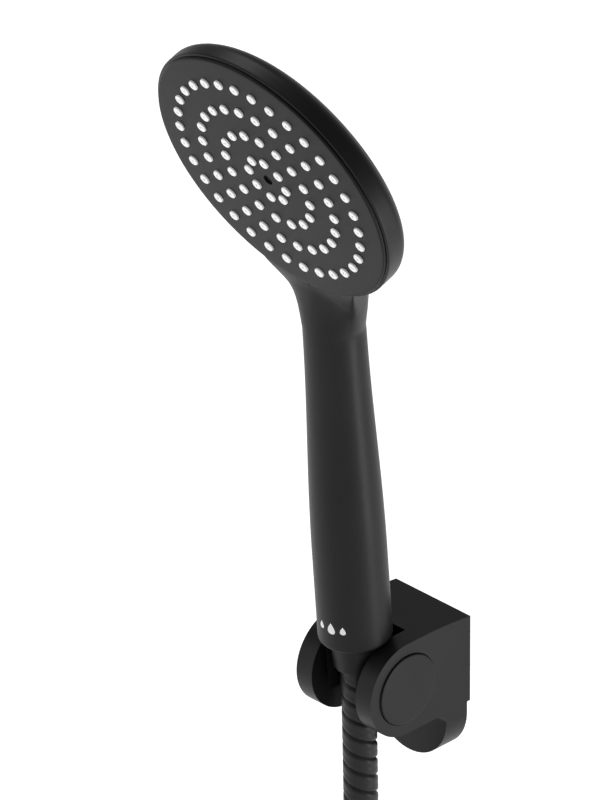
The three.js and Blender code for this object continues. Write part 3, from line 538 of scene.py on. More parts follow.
def finish(name):
    """The material of a finish, made the first time it is asked for."""
    if name in bpy.data.materials:
        return bpy.data.materials[name]
    colours = bpy.context.scene.shower_finishes
    makers = {
        "matt_moulding": lambda: plastic(name, colours.moulding, 0.42, 0.17),
        "spray_face": lambda: plastic(name, colours.face, 0.46, 0.14, relief=0.012),
        "hose_cover": lambda: plastic(name, colours.hose, 0.42, 0.2, grain=1800.0),
        "white_silicone": lambda: plastic(name, colours.silicone, 0.55, 0.3, relief=0.01),
        "white_print": lambda: plastic(name, colours.print_white, 0.5, 0.4, relief=0.005),
        "inner_plastic": lambda: plastic(name, colours.inner, 0.5, 0.5),
        "black_rubber": lambda: plastic(name, colours.rubber, 0.72, 0.2, grain=1500.0),
        "screw_steel": lambda: machined_metal(name, colours.steel, 0.34),
        "thread_brass": lambda: machined_metal(name, colours.brass, 0.38),
    }
    return makers[name]()


def dress_nodes(names, material):
    """Gives CAD nodes that stay visible a material."""
    for name in names:
        materials = frame["nodes"][name].data.materials
        materials.clear()
        materials.append(finish(material))


# ---- handset: body shell -------------------------------------------------------------------------

FRONT_COLUMNS = 14
ROUND_COLUMNS = 7
WALL_COLUMNS = 4
BACK_COLUMNS = 32
HANDLE_ROWS = 60
WEB_ROWS = 44
RIM_ROWS = 84
FRONT_SHARE = 0.62  # share of the web's rows whose front reaches the centre line
FRONT_ANGLE = 0.40 * math.pi  # round the handle, where the front columns end
BACK_ANGLE = 0.56 * math.pi  # and where the back columns start
BACK_POWER = 2.4  # how full the back is
LIP_WIDTH = 0.4 * MM  # rounding of the mouth's edge
RIM_ROUNDING = 0.8 * MM
RIM_TAPER = 3 * MM  # how much thinner the rim's wall is at the top
TAPER_START = -20 * MM  # level on the face where the rim starts to thin
TAPER_LENGTH = 80 * MM
DOME_RUN = 50 * MM  # below the head's centre, over which the back deepens
SPINE_REACH = 115 * MM  # length of outline over which the spine climbs to the centre
WEB_POWER = 1.15  # how late the web widens
WEB_ROUNDING = 5 * MM  # of the web's front edge, where it leaves the handle
WEB_INSET = 1.1 * MM  # how far the handle's front line draws back in the web
INSET_START = 140.1 * MM  # height where the front line starts to
INSET_RUN = 30 * MM
WEB_LEAD = 5 * MM  # how far under the web's first row its back starts to lean
LEAN_RUN = 20 * MM  # over which the lean grows to the head's tilt
LEVEL_DEPTH = 9 * MM  # behind the face, where the web's heights are taken
MOUTH_DEPTH = 8.6 * MM  # down to the seat of the distributor
SEAT_WIDTH = 3.6 * MM
CHAMBER_DROP = 3 * MM  # from the rim's foot to the chamber's corner
SHOULDER_SHARE = 0.62  # of the head's radius, where the chamber's roof bends
SHOULDER_WALL = 5.2 * MM
DOME_WALL = 2.5 * MM


def handle_radius(height, sizes):
    """Full at the end, slimming to the waist along half a cosine wave."""
    share = np.clip((height - sizes.slim_start) / sizes.slim_length, 0, 1)
    drop = sizes.end_radius - sizes.waist_radius
    return sizes.waist_radius + drop * (1 + np.cos(np.pi * share)) / 2


def column_angles():
    """Angle of each column round the handle, from its front line to its back line."""
    side = ROUND_COLUMNS + WALL_COLUMNS
    front = np.linspace(0, FRONT_ANGLE, FRONT_COLUMNS + 1)
    middle = np.linspace(FRONT_ANGLE, BACK_ANGLE, side + 1)
    back = np.linspace(BACK_ANGLE, np.pi, BACK_COLUMNS + 1)
    return np.concatenate((front, middle[1:], back[1:]))


def level_rings(radius, height, front=None, back=None):
    """Half rings at given heights: x = radius sin a, and y an ellipse from front to back."""
    angle = column_angles()[None, :]
    radius, height = np.broadcast_arrays(radius, height)
    front = radius if front is None else front
    back = radius if back is None else back
    x = radius[:, None] * np.sin(angle)
    y = -((front + back)[:, None] * np.cos(angle) + (front - back)[:, None]) / 2
    z = np.broadcast_to(height[:, None], x.shape)
    return np.stack((x, y, z), axis=2)


def web_outline(sizes, share):
    """Edge of the web in the face's plane: the half width grows with a power of the share."""
    rim_level = -math.sqrt(sizes.head_radius**2 - sizes.web_half_width**2)
    width = sizes.waist_radius + (sizes.web_half_width - sizes.waist_radius) * share**WEB_POWER
    return np.stack((width, rim_level - sizes.web_length * (1 - share)), axis=1)


def on_circle(radius, angle):
    """Points at an angle from the head's lowest point."""
    return np.stack((radius * np.sin(angle), -radius * np.cos(angle)), axis=1)


def spine_levels(outline):
    """Where each row's ray starts on the centre line of the back.

    A Hermite curve over the outline's length: it leaves with the outline and comes to rest at
    the head's centre.
    """
    step = np.linalg.norm(np.diff(outline, axis=0), axis=1)
    along = np.concatenate(([0], np.cumsum(step)))
    u = np.clip(along / SPINE_REACH, 0, 1)
    start = outline[0, 1]
    return (2 * u**3 - 3 * u**2 + 1) * start + (u**3 - 2 * u**2 + u) * SPINE_REACH


def face_edge(sizes, share):
    """Inner end of the front: up the centre line, then round the mouth's circle."""
    radius = sizes.mouth_radius + LIP_WIDTH
    start = web_outline(sizes, np.zeros(1))[0, 1]
    climb = np.clip(share / FRONT_SHARE, 0, 1)
    level = start + (-radius - start) * climb
    end_angle = math.asin(sizes.web_half_width / sizes.head_radius)
    angle = end_angle * np.clip((share - FRONT_SHARE) / (1 - FRONT_SHARE), 0, 1)
    circle = on_circle(radius, angle)
    straight = np.stack((np.zeros_like(level), level), axis=1)
    return np.where((share > FRONT_SHARE)[:, None], circle, straight), angle


def handle_front(level, sizes):
    """How far the handle's front line stands over the face's plane under the rim."""
    height = sizes.head_up + level * math.cos(sizes.head_tilt)
    inset = WEB_INSET * smoothstep((height - INSET_START) / INSET_RUN)
    over = sizes.waist_radius - inset - sizes.head_forward - math.sin(sizes.head_tilt) * level
    return np.maximum(0, over * math.cos(sizes.head_tilt))


def head_rows(outline, inner, level, rounding, drop, sizes):
    """Rows of the head and the web, in the head's frame.

    A row goes from the face's edge over a rounded corner, down the wall and along a ray to the
    spine. The corner is a quarter ellipse, rounding wide and drop deep. Under the rim the front
    bulges to the handle's front line with 1 - t^2. On the ray p = spine + (edge - spine) cos b,
    and the depth grows from the wall's foot with (1 - cos^n b)^(1/2).
    """
    inward = inner - outline
    inward /= np.linalg.norm(inward, axis=1, keepdims=True)
    corner = outline + inward * rounding[:, None]
    t = np.linspace(0, 1, FRONT_COLUMNS + 1)[None, :, None]
    front = inner[:, None] + (corner - inner)[:, None] * t
    bulge = np.where(inner[:, 0] > 0, 0, handle_front(inner[:, 1], sizes))
    front_z = bulge[:, None] * (1 - t[:, :, 0] ** 2)
    turn = np.linspace(0, np.pi / 2, ROUND_COLUMNS + 1)[1:]
    reach = (inward * rounding[:, None])[:, None]
    rounded = outline[:, None] + reach * (1 - np.sin(turn))[None, :, None]
    rounded_z = -drop[:, None] * (1 - np.cos(turn))[None]
    down = np.linspace(0, 1, WALL_COLUMNS + 1)[1:][None]
    foot = sizes.rim_depth - RIM_TAPER * smoothstep((outline[:, 1] - TAPER_START) / TAPER_LENGTH)
    wall = np.repeat(outline[:, None], WALL_COLUMNS, axis=1)
    wall_z = -drop[:, None] - (foot - drop)[:, None] * down
    beta = np.linspace(0, np.pi / 2, BACK_COLUMNS + 1)[1:]
    spine = np.stack((np.zeros_like(level), level), axis=1)
    back = spine[:, None] + (outline - spine)[:, None] * np.cos(beta)[None, :, None]
    rise = smoothstep(1 + level / DOME_RUN)
    deep = sizes.neck_depth + (sizes.dome_depth - sizes.neck_depth) * rise
    fall = np.sqrt(1 - np.cos(beta) ** BACK_POWER)[None]
    back_z = -foot[:, None] - (deep - foot)[:, None] * fall
    flat = np.concatenate((front, rounded, wall, back), axis=1)
    depth = np.concatenate((front_z, rounded_z, wall_z, back_z), axis=1)
    return np.concatenate((flat, depth[:, :, None]), axis=2)


def web_rings(outline, sizes):
    """Level ellipses that carry the handle's shape on into the web."""
    tilt = sizes.head_tilt
    height = sizes.head_up + outline[:, 1] * math.cos(tilt) + LEVEL_DEPTH * math.sin(tilt)
    climb = height - height[0] + WEB_LEAD
    bend = np.clip(climb, 0, LEAN_RUN) ** 2 / (2 * LEAN_RUN)
    lean = (bend + np.maximum(climb - LEAN_RUN, 0)) * math.tan(tilt)
    front = sizes.waist_radius - WEB_INSET * smoothstep(climb / INSET_RUN)
    back = sizes.waist_radius - lean
    return level_rings(outline[:, 0], height, front, back), height[0]


def mirrored(points, faces):
    """The same part on the other side of the centre plane."""
    return points * np.array([-1, 1, 1]), faces[:, ::-1]


def body_shell_parts(sizes):
    """The outside of handle, web and head as one grid, the handle's hollow and the mouth."""
    share = np.linspace(0, 1, WEB_ROWS)
    edge = web_outline(sizes, share)
    edge_inner, edge_angle = face_edge(sizes, share)
    first = math.asin(sizes.web_half_width / sizes.head_radius)
    angle = np.linspace(first, np.pi, RIM_ROWS)[1:]
    outline = np.concatenate((edge, on_circle(sizes.head_radius, angle)))
    inner = np.concatenate((edge_inner, on_circle(sizes.mouth_radius + LIP_WIDTH, angle)))
    rounding = np.full(len(outline), RIM_ROUNDING)
    drop = rounding.copy()
    rounding[:WEB_ROWS] += WEB_ROUNDING * (1 - share)
    drop[:WEB_ROWS] += (sizes.rim_depth - 1.5 * RIM_ROUNDING) * (1 - share)
    head = head_rows(outline, inner, spine_levels(outline), rounding, drop, sizes)
    to_handset = handset_frame().inverted() @ head_frame(sizes)
    head = placed(head, to_handset)
    rings, web_foot = web_rings(edge, sizes)
    weight = smoothstep(share)[:, None, None]
    head[:WEB_ROWS] = rings * (1 - weight) + head[:WEB_ROWS] * weight

    round_end = sizes.end_rounding
    foot = softened(
        [
            (0, sizes.bore_top, 0),
            (sizes.bore_radius, sizes.bore_top, 0),
            (sizes.bore_radius, sizes.recess_depth, 0),
            (sizes.recess_radius, sizes.recess_depth, 0),
            (sizes.recess_radius, 0, 0.4 * MM),
            (sizes.end_radius, 0, round_end),
            (sizes.end_radius, round_end * 1.5, 0),
        ]
    )
    heights = np.linspace(foot[-1, 1], web_foot, HANDLE_ROWS)[1:-1]
    radius = np.concatenate((foot[:, 0], handle_radius(heights, sizes)))
    height = np.concatenate((foot[:, 1], heights))
    rows = np.concatenate((level_rings(radius, height), head))
    outside = placed(rows.reshape(-1, 3), handset_frame())
    outside_faces = grid_faces(*rows.shape[:2])

    mouth_angle = np.concatenate((edge_angle[share >= FRONT_SHARE], angle))
    mouth = mouth_rows(sizes, np.concatenate(([0], mouth_angle)))
    inside = placed(mouth.reshape(-1, 3), head_frame(sizes))
    inside_faces = grid_faces(*mouth.shape[:2])
    halves = [(outside, outside_faces), (inside, inside_faces)]
    return halves + [mirrored(*half) for half in halves]


def mouth_rows(sizes, angle):
    """The hollow behind the plate, turned about the face's normal through given angles."""
    wall = sizes.mouth_radius
    chamber = wall - SEAT_WIDTH
    profile = softened(
        [
            (wall + LIP_WIDTH, 0, 0),
            (wall, 0, LIP_WIDTH),
            (wall, -MOUTH_DEPTH, 0),
            (chamber, -MOUTH_DEPTH, 0),
            (chamber, -sizes.rim_depth - CHAMBER_DROP, 0),
            (SHOULDER_SHARE * sizes.head_radius, -sizes.dome_depth + SHOULDER_WALL, 0),
            (0, -sizes.dome_depth + DOME_WALL, 0),
        ]
    )
    x = np.outer(np.sin(angle), profile[:, 0])
    y = -np.outer(np.cos(angle), profile[:, 0])
    z = np.broadcast_to(profile[:, 1], x.shape)
    return np.stack((x, y, z), axis=2)


# ---- handset: face and mark ----------------------------------------------------------------------

PLATE_LEVEL = -0.1 * MM  # of the plate's edge, from the rim's plane
PLATE_RISE = 1.5 * MM  # how far its softened front stands over that edge
PLATE_THICKNESS = 2 * MM
PLATE_ROWS = 26
PLATE_SEGMENTS = 160
LAP_GAP = 0.15 * MM  # between the rim and the plate's lap over it
WELL_RADIUS = 2.2 * MM  # of the well over the centre screw
WELL_DEPTH = 1.0125 * MM
MAT_THICKNESS = 1.3 * MM
MAT_INSET = 1 * MM
MAT_SEGMENTS = 96
GAP = 0.3 * MM
NOZZLE_COUNTS = (8, 16, 24, 32)
FIRST_RING_RADIUS = 9.8 * MM
RING_STEP = 12.5 * MM
FIRST_NOZZLE_ANGLE = math.radians(7.5)
NOZZLE_SEGMENTS = 14
NOZZLE_ROOT = 0.6 * MM  # how far a nozzle reaches into the plate
NOZZLE_TAPER = 0.05 * MM
OUTLET_RADIUS = 0.55 * MM
OUTLET_DEPTH = 0.5 * MM
OUTLET_TAPER = 0.1 * MM
DROPS = ((-3.2 * MM, 3.6 * MM), (2 * MM, 5.2 * MM), (7.2 * MM, 3.6 * MM))  # place across, length
DROP_LEVEL = 10.8 * MM
DROP_FULLNESS = 0.93
DROP_POINT = 1.3  # how early a drop narrows towards its point
DROP_RINGS, DROP_SIDES = 6, 40
PRINT_THICKNESS = 0.03 * MM


def face_level(radius, sizes):
    """Height of the domed face: a paraboloid, highest at the centre."""
    dome = sizes.face_rise * (1 - (radius / sizes.plate_radius) ** 2)
    return PLATE_LEVEL + PLATE_RISE + dome


def plate_profile(sizes):
    """Centre of the front, over the dome, round the edge and back along the flat rear."""
    edge = sizes.plate_radius + sizes.plate_overhang
    rounding = sizes.plate_rounding
    radius = np.linspace(WELL_RADIUS + 0.5 * MM, edge - rounding, PLATE_ROWS)
    dome = np.stack((radius, face_level(radius, sizes)), axis=1)
    well = face_level(0, sizes) - WELL_DEPTH
    centre = softened(
        [
            (0, well, 0),
            (WELL_RADIUS, well, 0),
            (WELL_RADIUS, face_level(WELL_RADIUS, sizes), 0.3 * MM),
            (*dome[0], 0),
        ]
    )
    turn = np.linspace(0, np.pi / 2, 8)[1:]
    corner = np.stack(
        (
            edge - rounding * (1 - np.sin(turn)),
            face_level(edge - rounding, sizes) - rounding * (1 - np.cos(turn)),
        ),
        axis=1,
    )
    rear = PLATE_LEVEL - PLATE_THICKNESS
    under = softened(
        [(*corner[-1], 0), (edge, LAP_GAP, 0.15 * MM), (sizes.plate_radius, LAP_GAP, 0)]
    )
    return np.concatenate(
        (centre, dome[1:], corner, under[1:], [(sizes.plate_radius, rear), (0, rear)])
    )


def nozzle_places():
    """Centres of the nozzles, ring by ring, as x and y on the face."""
    rings = []
    for ring, count in enumerate(NOZZLE_COUNTS):
        angle = FIRST_NOZZLE_ANGLE + np.arange(count) * 2 * np.pi / count
        radius = FIRST_RING_RADIUS + ring * RING_STEP
        rings.append(radius * np.stack((np.sin(angle), np.cos(angle)), axis=1))
    return np.concatenate(rings)


def nozzle_profile(sizes):
    """A soft peg: tapered side, rounded shoulder and a small outlet in its top."""
    radius, height = sizes.nozzle_radius, sizes.nozzle_height
    return softened(
        [
            (radius, -NOZZLE_ROOT, 0),
            (radius - NOZZLE_TAPER, height, 0.4 * MM),
            (OUTLET_RADIUS, height, 0.12 * MM),
            (OUTLET_RADIUS - OUTLET_TAPER, height - OUTLET_DEPTH, 0),
            (0, height - OUTLET_DEPTH, 0),
        ],
        steps=3,
    )


def nozzle_parts(sizes):
    """All nozzles: one peg's points, moved to each place and lifted onto the dome."""
    points, faces = lathe(nozzle_profile(sizes), NOZZLE_SEGMENTS, Matrix.Identity(4))
    places = nozzle_places()
    level = face_level(np.linalg.norm(places, axis=1), sizes)
    shifts = np.column_stack((places, level))
    moved = (points[None] + shifts[:, None]).reshape(-1, 3)
    indexes = faces[None] + (np.arange(len(places)) * len(points))[:, None, None]
    return placed(moved, head_frame(sizes)), indexes.reshape(-1, 4)


def mark_parts(sizes):
    """A row of three printed drops low on the handle's front, smallest at the sides.

    A drop is a polar grid whose edge is a circle drawn out to a point: its width is narrowed by a
    power of the sine of half the angle. The flat drop is then laid on the handle, where x is an
    arc.
    """
    parts = []
    faces = grid_faces(DROP_RINGS, DROP_SIDES, False, True)
    ring = np.linspace(0, 1, DROP_RINGS)
    turn = np.linspace(0, 2 * np.pi, DROP_SIDES, endpoint=False)
    for across, length in DROPS:
        half = length / 2
        width = DROP_FULLNESS * half * np.sin(turn) * np.sin(turn / 2) ** DROP_POINT
        x = across + np.outer(ring, width)
        z = DROP_LEVEL + np.outer(ring, half * np.cos(turn))
        radius = handle_radius(z, sizes) + PRINT_THICKNESS
        bent = np.stack((radius * np.sin(x / radius), -radius * np.cos(x / radius), z), axis=2)
        parts.append((placed(bent.reshape(-1, 3), handset_frame()), faces))
    return parts


# ---- hose ----------------------------------------------------------------------------------------

HOSE_POINTS = in_metres(
    [
        (0, -43.4, 18.9),
        (0, -42.35, 6.2),
        (0, -41.6, -10),
        (0, -41.1, -25),
        (0, -40.7, -40),
        (0, -40.4, -55),
        (0, -40.3, -75),
        (0, -40.3, -100),
        (0, -40.3, -125),
        (0, -40.3, -145),
        (0, -40.3, -161.5),
        (1.7, -41.4, -177),
        (6.7, -44.7, -191.5),
        (15.2, -50.3, -204.4),
        (25, -56.8, -213.5),
        (37.1, -64.8, -219.5),
    ]
)
COIL_CENTRE = np.array((0, -149.3)) * MM
COIL_LEVEL = -221.5 * MM
COIL_START_ANGLE = math.radians(56.6)
COIL_OUTER_TURN = 91 * MM
COIL_INNER_TURN = 58.1 * MM
COIL_TURNS = 2.3
TAIL_TURN = math.radians(126)
TAIL_RISE = 19.5 * MM
TAIL_SPREAD = 15 * MM
HOSE_SIDES = 28
GROOVE_SHARE = 0.105  # half of a groove's width, as a share of the spacing
GROOVE_POWER = 0.8  # how round a groove's bottom is
CROWN_START = 0.1  # share of the spacing where the crown starts, beside a groove
CROWN_DIP = 0.12 * MM  # how far the crown's edges and its middle lie under its top
CURVE_STEPS = 24  # between two points of the hose's route
TIE_ANGLE = math.radians(10)
TIE_THICKNESS = 1.2 * MM
TIE_WIDTH = 8 * MM
TIE_SLACK = 1.2 * MM
TIE_CORNER = 4 * MM
NUT_SEGMENTS = 120
NUT_WALL = 1.9 * MM  # round the hollow that the inlet's thread takes
NUT_FLOOR = 3.5 * MM  # height of that hollow's foot
END_NUT_TOP = 15.7 * MM  # from the joint's point
END_NUT_MOUTH = 10.5 * MM  # radius of the hollow that takes the wall's thread
END_NUT_FLOOR = 5 * MM  # height of its foot
END_NUT_SEGMENTS = 192
RIBS = 32
RIB_DEPTH = 0.35 * MM


def coil_points():
    """The turns, a spiral whose radius shrinks evenly, then the tail that climbs on top of them."""
    t = np.linspace(0, 1, 60)
    angle = COIL_START_ANGLE - 2 * np.pi * COIL_TURNS * t
    radius = COIL_OUTER_TURN + (COIL_INNER_TURN - COIL_OUTER_TURN) * t
    level = np.full(t.shape, COIL_LEVEL)
    u = np.linspace(0, 1, 16)[1:]
    angle = np.concatenate((angle, angle[-1] - TAIL_TURN * u))
    spread = TAIL_SPREAD * smoothstep((u - 0.45) / 0.55)
    radius = np.concatenate((radius, COIL_INNER_TURN + spread))
    level = np.concatenate((level, COIL_LEVEL + TAIL_RISE * smoothstep(u)))
    x = COIL_CENTRE[0] + radius * np.cos(angle)
    y = COIL_CENTRE[1] + radius * np.sin(angle)
    return np.stack((x, y, level), axis=1)


def even_curve(points, spacing):
    """A Catmull-Rom curve through points, resampled at even steps of about the given spacing."""
    padded = np.concatenate((2 * points[:1] - points[1:2], points, 2 * points[-1:] - points[-2:-1]))
    a, b, c, d = padded[:-3], padded[1:-2], padded[2:-1], padded[3:]
    t = np.linspace(0, 1, CURVE_STEPS, endpoint=False)[None, :, None]
    a, b, c, d = (part[:, None] for part in (a, b, c, d))
    curve = 0.5 * (
        2 * b + (c - a) * t + (2 * a - 5 * b + 4 * c - d) * t**2 + (3 * b - a - 3 * c + d) * t**3
    )
    fine = np.concatenate((curve.reshape(-1, 3), points[-1:]))
    along = np.concatenate(([0], np.cumsum(np.linalg.norm(np.diff(fine, axis=0), axis=1))))
    count = int(round(along[-1] / spacing)) + 1
    even = np.linspace(0, along[-1], count)
    return np.stack([np.interp(even, along, fine[:, k]) for k in range(3)], axis=1)


def carried_frames(path):
    """Two directions across the path at each point, turned as little as possible along it."""
    tangent = np.gradient(path, axis=0)
    tangent /= np.linalg.norm(tangent, axis=1, keepdims=True)
    across = np.zeros_like(path)
    across[0] = np.cross(tangent[0], (0, 1, 0))
    for k in range(1, len(path)):
        side = across[k - 1] - tangent[k] * (across[k - 1] @ tangent[k])
        across[k] = side / np.linalg.norm(side)
    across[0] /= np.linalg.norm(across[0])
    return across, np.cross(tangent, across)


def grooved_radius(phase, sizes):
    """Radius over one groove spacing: a narrow groove and a crown with a shallow dip along it."""
    away = np.abs((phase + 0.5) % 1 - 0.5)
    groove = np.clip(1 - away / GROOVE_SHARE, 0, 1)
    along = np.maximum(away - CROWN_START, 0) / (0.5 - CROWN_START)
    dip = CROWN_DIP * (2 * along - 1) ** 2
    return sizes.diameter / 2 - sizes.groove_depth * groove**GROOVE_POWER - dip


def hose_parts(sizes, path):
    """The cover: radius r(phase) carried along the path, where the phase turns with the grooves.

    One row lies one column further round for each step along, so a quad's diagonal follows the
    groove and each quad is split along it.
    """
    across, up = carried_frames(path)
    rows = len(path)
    column = np.arange(HOSE_SIDES)
    turn = 2 * np.pi * column / HOSE_SIDES
    period = HOSE_SIDES / sizes.starts
    phase = (np.arange(rows)[:, None] + column[None, :]) / period
    radius = grooved_radius(phase, sizes)[:, :, None]
    turn = turn[None, :, None]
    circle = across[:, None] * np.cos(turn) + up[:, None] * np.sin(turn)
    points = (path[:, None] + radius * circle).reshape(-1, 3)
    quads = grid_faces(rows, HOSE_SIDES, False, True)
    halves = np.concatenate((quads[:, [0, 1, 3]], quads[:, [1, 2, 3]]))
    return points, halves, tube_ends(points, path, rows)


def tube_ends(points, path, rows):
    """Fans that close both ends of the tube, each round the path's end point."""
    column = np.arange(HOSE_SIDES)
    following = (column + 1) % HOSE_SIDES
    last = (rows - 1) * HOSE_SIDES
    centres = np.stack((path[0], path[-1]))
    first_centre, last_centre = len(points), len(points) + 1
    front = np.stack((following, column, np.full(HOSE_SIDES, first_centre)), axis=1)
    rear = np.stack((last + column, last + following, np.full(HOSE_SIDES, last_centre)), axis=1)
    return centres, np.concatenate((front, rear))


def conical_nut_profile(sizes):
    """Skirt with a rounded foot, a step inside the handle, and the bore."""
    foot = -sizes.nut_skirt
    wall = sizes.nut_head_radius - NUT_WALL
    return softened(
        [
            (sizes.nut_bore, foot, 0.25 * MM),
            (sizes.nut_foot_radius, foot, 0.9 * MM),
            (sizes.nut_top_radius, 0.4 * MM, 0.2 * MM),
            (sizes.nut_top_radius, 1.2 * MM, 0),
            (sizes.nut_head_radius, 1.7 * MM, 0.3 * MM),
            (sizes.nut_head_radius, sizes.nut_head_height, 0.5 * MM),
            (wall, sizes.nut_head_height, 0.3 * MM),
            (wall, NUT_FLOOR, 0),
            (sizes.nut_bore, NUT_FLOOR, 0),
        ],
        closed=True,
    )


def knurled_nut_parts(sizes, matrix):
    """The wall end's nut: its profile turned about Z, the outer rows rippled for grip."""
    high = END_NUT_TOP
    low = high - sizes.end_nut_length
    radius = sizes.end_nut_radius
    profile = softened(
        [
            (sizes.nut_bore, low, 0.2 * MM),
            (radius - 1.6 * MM, low, 0.5 * MM),
            (radius - 0.1 * MM, low + 2.2 * MM, 0.6 * MM),
            (radius - 0.1 * MM, high - 1.6 * MM, 0.6 * MM),
            (radius - 1 * MM, high, 0.4 * MM),
            (END_NUT_MOUTH, high, 0.2 * MM),
            (END_NUT_MOUTH, END_NUT_FLOOR, 0),
            (sizes.nut_bore, END_NUT_FLOOR, 0),
        ],
        closed=True,
    )
    points, faces = lathe(profile, END_NUT_SEGMENTS, Matrix.Identity(4), closed=True)
    angle = np.arctan2(points[:, 1], points[:, 0])
    reach = np.hypot(points[:, 0], points[:, 1])
    outer = smoothstep((reach - radius + 0.9 * MM) / (0.6 * MM))
    valley = RIB_DEPTH * outer * (0.5 - 0.5 * np.cos(RIBS * angle)) ** 2
    points[:, :2] *= (1 - valley / np.maximum(reach, MM))[:, None]
    return placed(points, matrix), faces


def tie_parts(matrix, half_width, half_height):
    """A strap carried round a rounded rectangle: a rounded section along that path."""
    turn = np.linspace(0, np.pi / 2, 9)
    arcs = []
    for quarter, (sx, sz) in enumerate(((1, 1), (-1, 1), (-1, -1), (1, -1))):
        angle = turn + quarter * np.pi / 2
        x = sx * (half_width - TIE_CORNER) + TIE_CORNER * np.cos(angle)
        z = sz * (half_height - TIE_CORNER) + TIE_CORNER * np.sin(angle)
        arcs.append(np.stack((x, z, np.cos(angle), np.sin(angle)), axis=1))
    path = np.concatenate(arcs)
    half = TIE_WIDTH / 2
    section = softened(
        [
            (0, -half, 0.3 * MM),
            (TIE_THICKNESS, -half, 0.4 * MM),
            (TIE_THICKNESS, half, 0.4 * MM),
            (0, half, 0.3 * MM),
        ],
        closed=True,
    )
    x = path[:, 0:1] + path[:, 2:3] * section[None, :, 0]
    z = path[:, 1:2] + path[:, 3:4] * section[None, :, 0]
    y = np.broadcast_to(section[None, :, 1], x.shape)
    points = np.stack((x, y, z), axis=2)
    return placed(points.reshape(-1, 3), matrix), grid_faces(*x.shape, True, True)


# ---- bracket -------------------------------------------------------------------------------------

ARM_INNER_REACH = 17 * MM  # from the pivot: edges nearer than this aren't the arms' outline
ARM_FOOT = -21 * MM  # height under which the outline belongs to the base
ARM_FADE_START = 12 * MM  # from the wall, where the arms' rounding starts to grow
ARM_FADE_LENGTH = 18 * MM
CAP_SKIRT = 3.7 * MM
CAP_WALL = 2.2 * MM
CAP_THICKNESS = 1.6 * MM
CAP_SEGMENTS = 128


def merged_copy(node, name):
    """A new mesh with a CAD node's points welded and its flat facets joined."""
    source = frame["nodes"][node].data
    points = np.array([vertex.co for vertex in source.vertices])
    mesh = bpy.data.meshes.new(name)
    mesh.from_pydata(points.tolist(), [], [list(face.vertices) for face in source.polygons])
    work = bmesh.new()
    work.from_mesh(mesh)
    bmesh.ops.remove_doubles(work, verts=work.verts, dist=MM / 100)
    bmesh.ops.dissolve_degenerate(work, edges=work.edges, dist=MM / 100)
    bmesh.ops.dissolve_limit(
        work, angle_limit=math.radians(1), verts=work.verts, edges=work.edges
    )
    bmesh.ops.recalc_face_normals(work, faces=work.faces)
    return mesh, work


def arm_share(middle, half_width, fine_share):
    """Bevel weight of an edge: it grows to 1 along the outline of the arms' outer faces."""
    pivot = Vector(JOINTS["cradle_tilt"]["pos_m"])
    reach = math.hypot(middle.y - pivot.y, middle.z - pivot.z)
    outer = abs(middle.x) > half_width - 0.1 * MM
    if not outer or reach < ARM_INNER_REACH or middle.z < ARM_FOOT:
        return fine_share
    away = smoothstep((-middle.y - ARM_FADE_START) / ARM_FADE_LENGTH)
    return float(fine_share + (1 - fine_share) * away)


def filleted_copy(node, name, material, width, share):
    """A CAD node's shape with its hard edges rounded by a Bevel modifier.

    The modifier's weight on an edge is what share gives for the edge's middle.
    """
    mesh, work = merged_copy(node, name)
    weight = work.edges.layers.float.new("bevel_weight_edge")
    for edge in work.edges:
        if len(edge.link_faces) != 2 or edge.calc_face_angle() < math.radians(30):
            continue
        middle = (edge.verts[0].co + edge.verts[1].co) / 2
        edge[weight] = share(middle)
    for face in work.faces:
        face.smooth = True
    work.to_mesh(mesh)
    work.free()
    mesh.materials.append(material)
    piece = bpy.data.objects.new(name, mesh)
    bpy.context.scene.collection.objects.link(piece)
    bevel = piece.modifiers.new("Rounding", "BEVEL")
    bevel.limit_method = "WEIGHT"
    bevel.width = width
    bevel.segments = 4
    bevel.use_clamp_overlap = True
    bevel.harden_normals = True
    bevel.miter_outer = "MITER_ARC"
    return piece


def cap_profile(sizes):
    """A cap: flat disc with a rounded edge and a short skirt behind it."""
    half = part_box("pivot_cap_right")[1].x + sizes.cap_rise
    foot = half - sizes.cap_rise - CAP_SKIRT
    inside = sizes.cap_radius - CAP_WALL
    return softened(
        [
            (0, half, 0),
            (sizes.cap_radius, half, sizes.cap_rounding),
            (sizes.cap_radius, foot, 0.3 * MM),
            (inside, foot, 0.3 * MM),
            (inside, half - CAP_THICKNESS, 0),
            (0, half - CAP_THICKNESS, 0),
        ],
        steps=6,
    )


# ---- operators -----------------------------------------------------------------------------------


class SHOWER_OT_stage(bpy.types.Operator):
    """Make the floor, the lights and the camera"""

    bl_idname = "shower.stage"
    bl_label = "Stage"

    def execute(self, context):
        make_floor(context.scene.shower_finishes.floor)
        make_lights()
        make_camera()
        return {"FINISHED"}


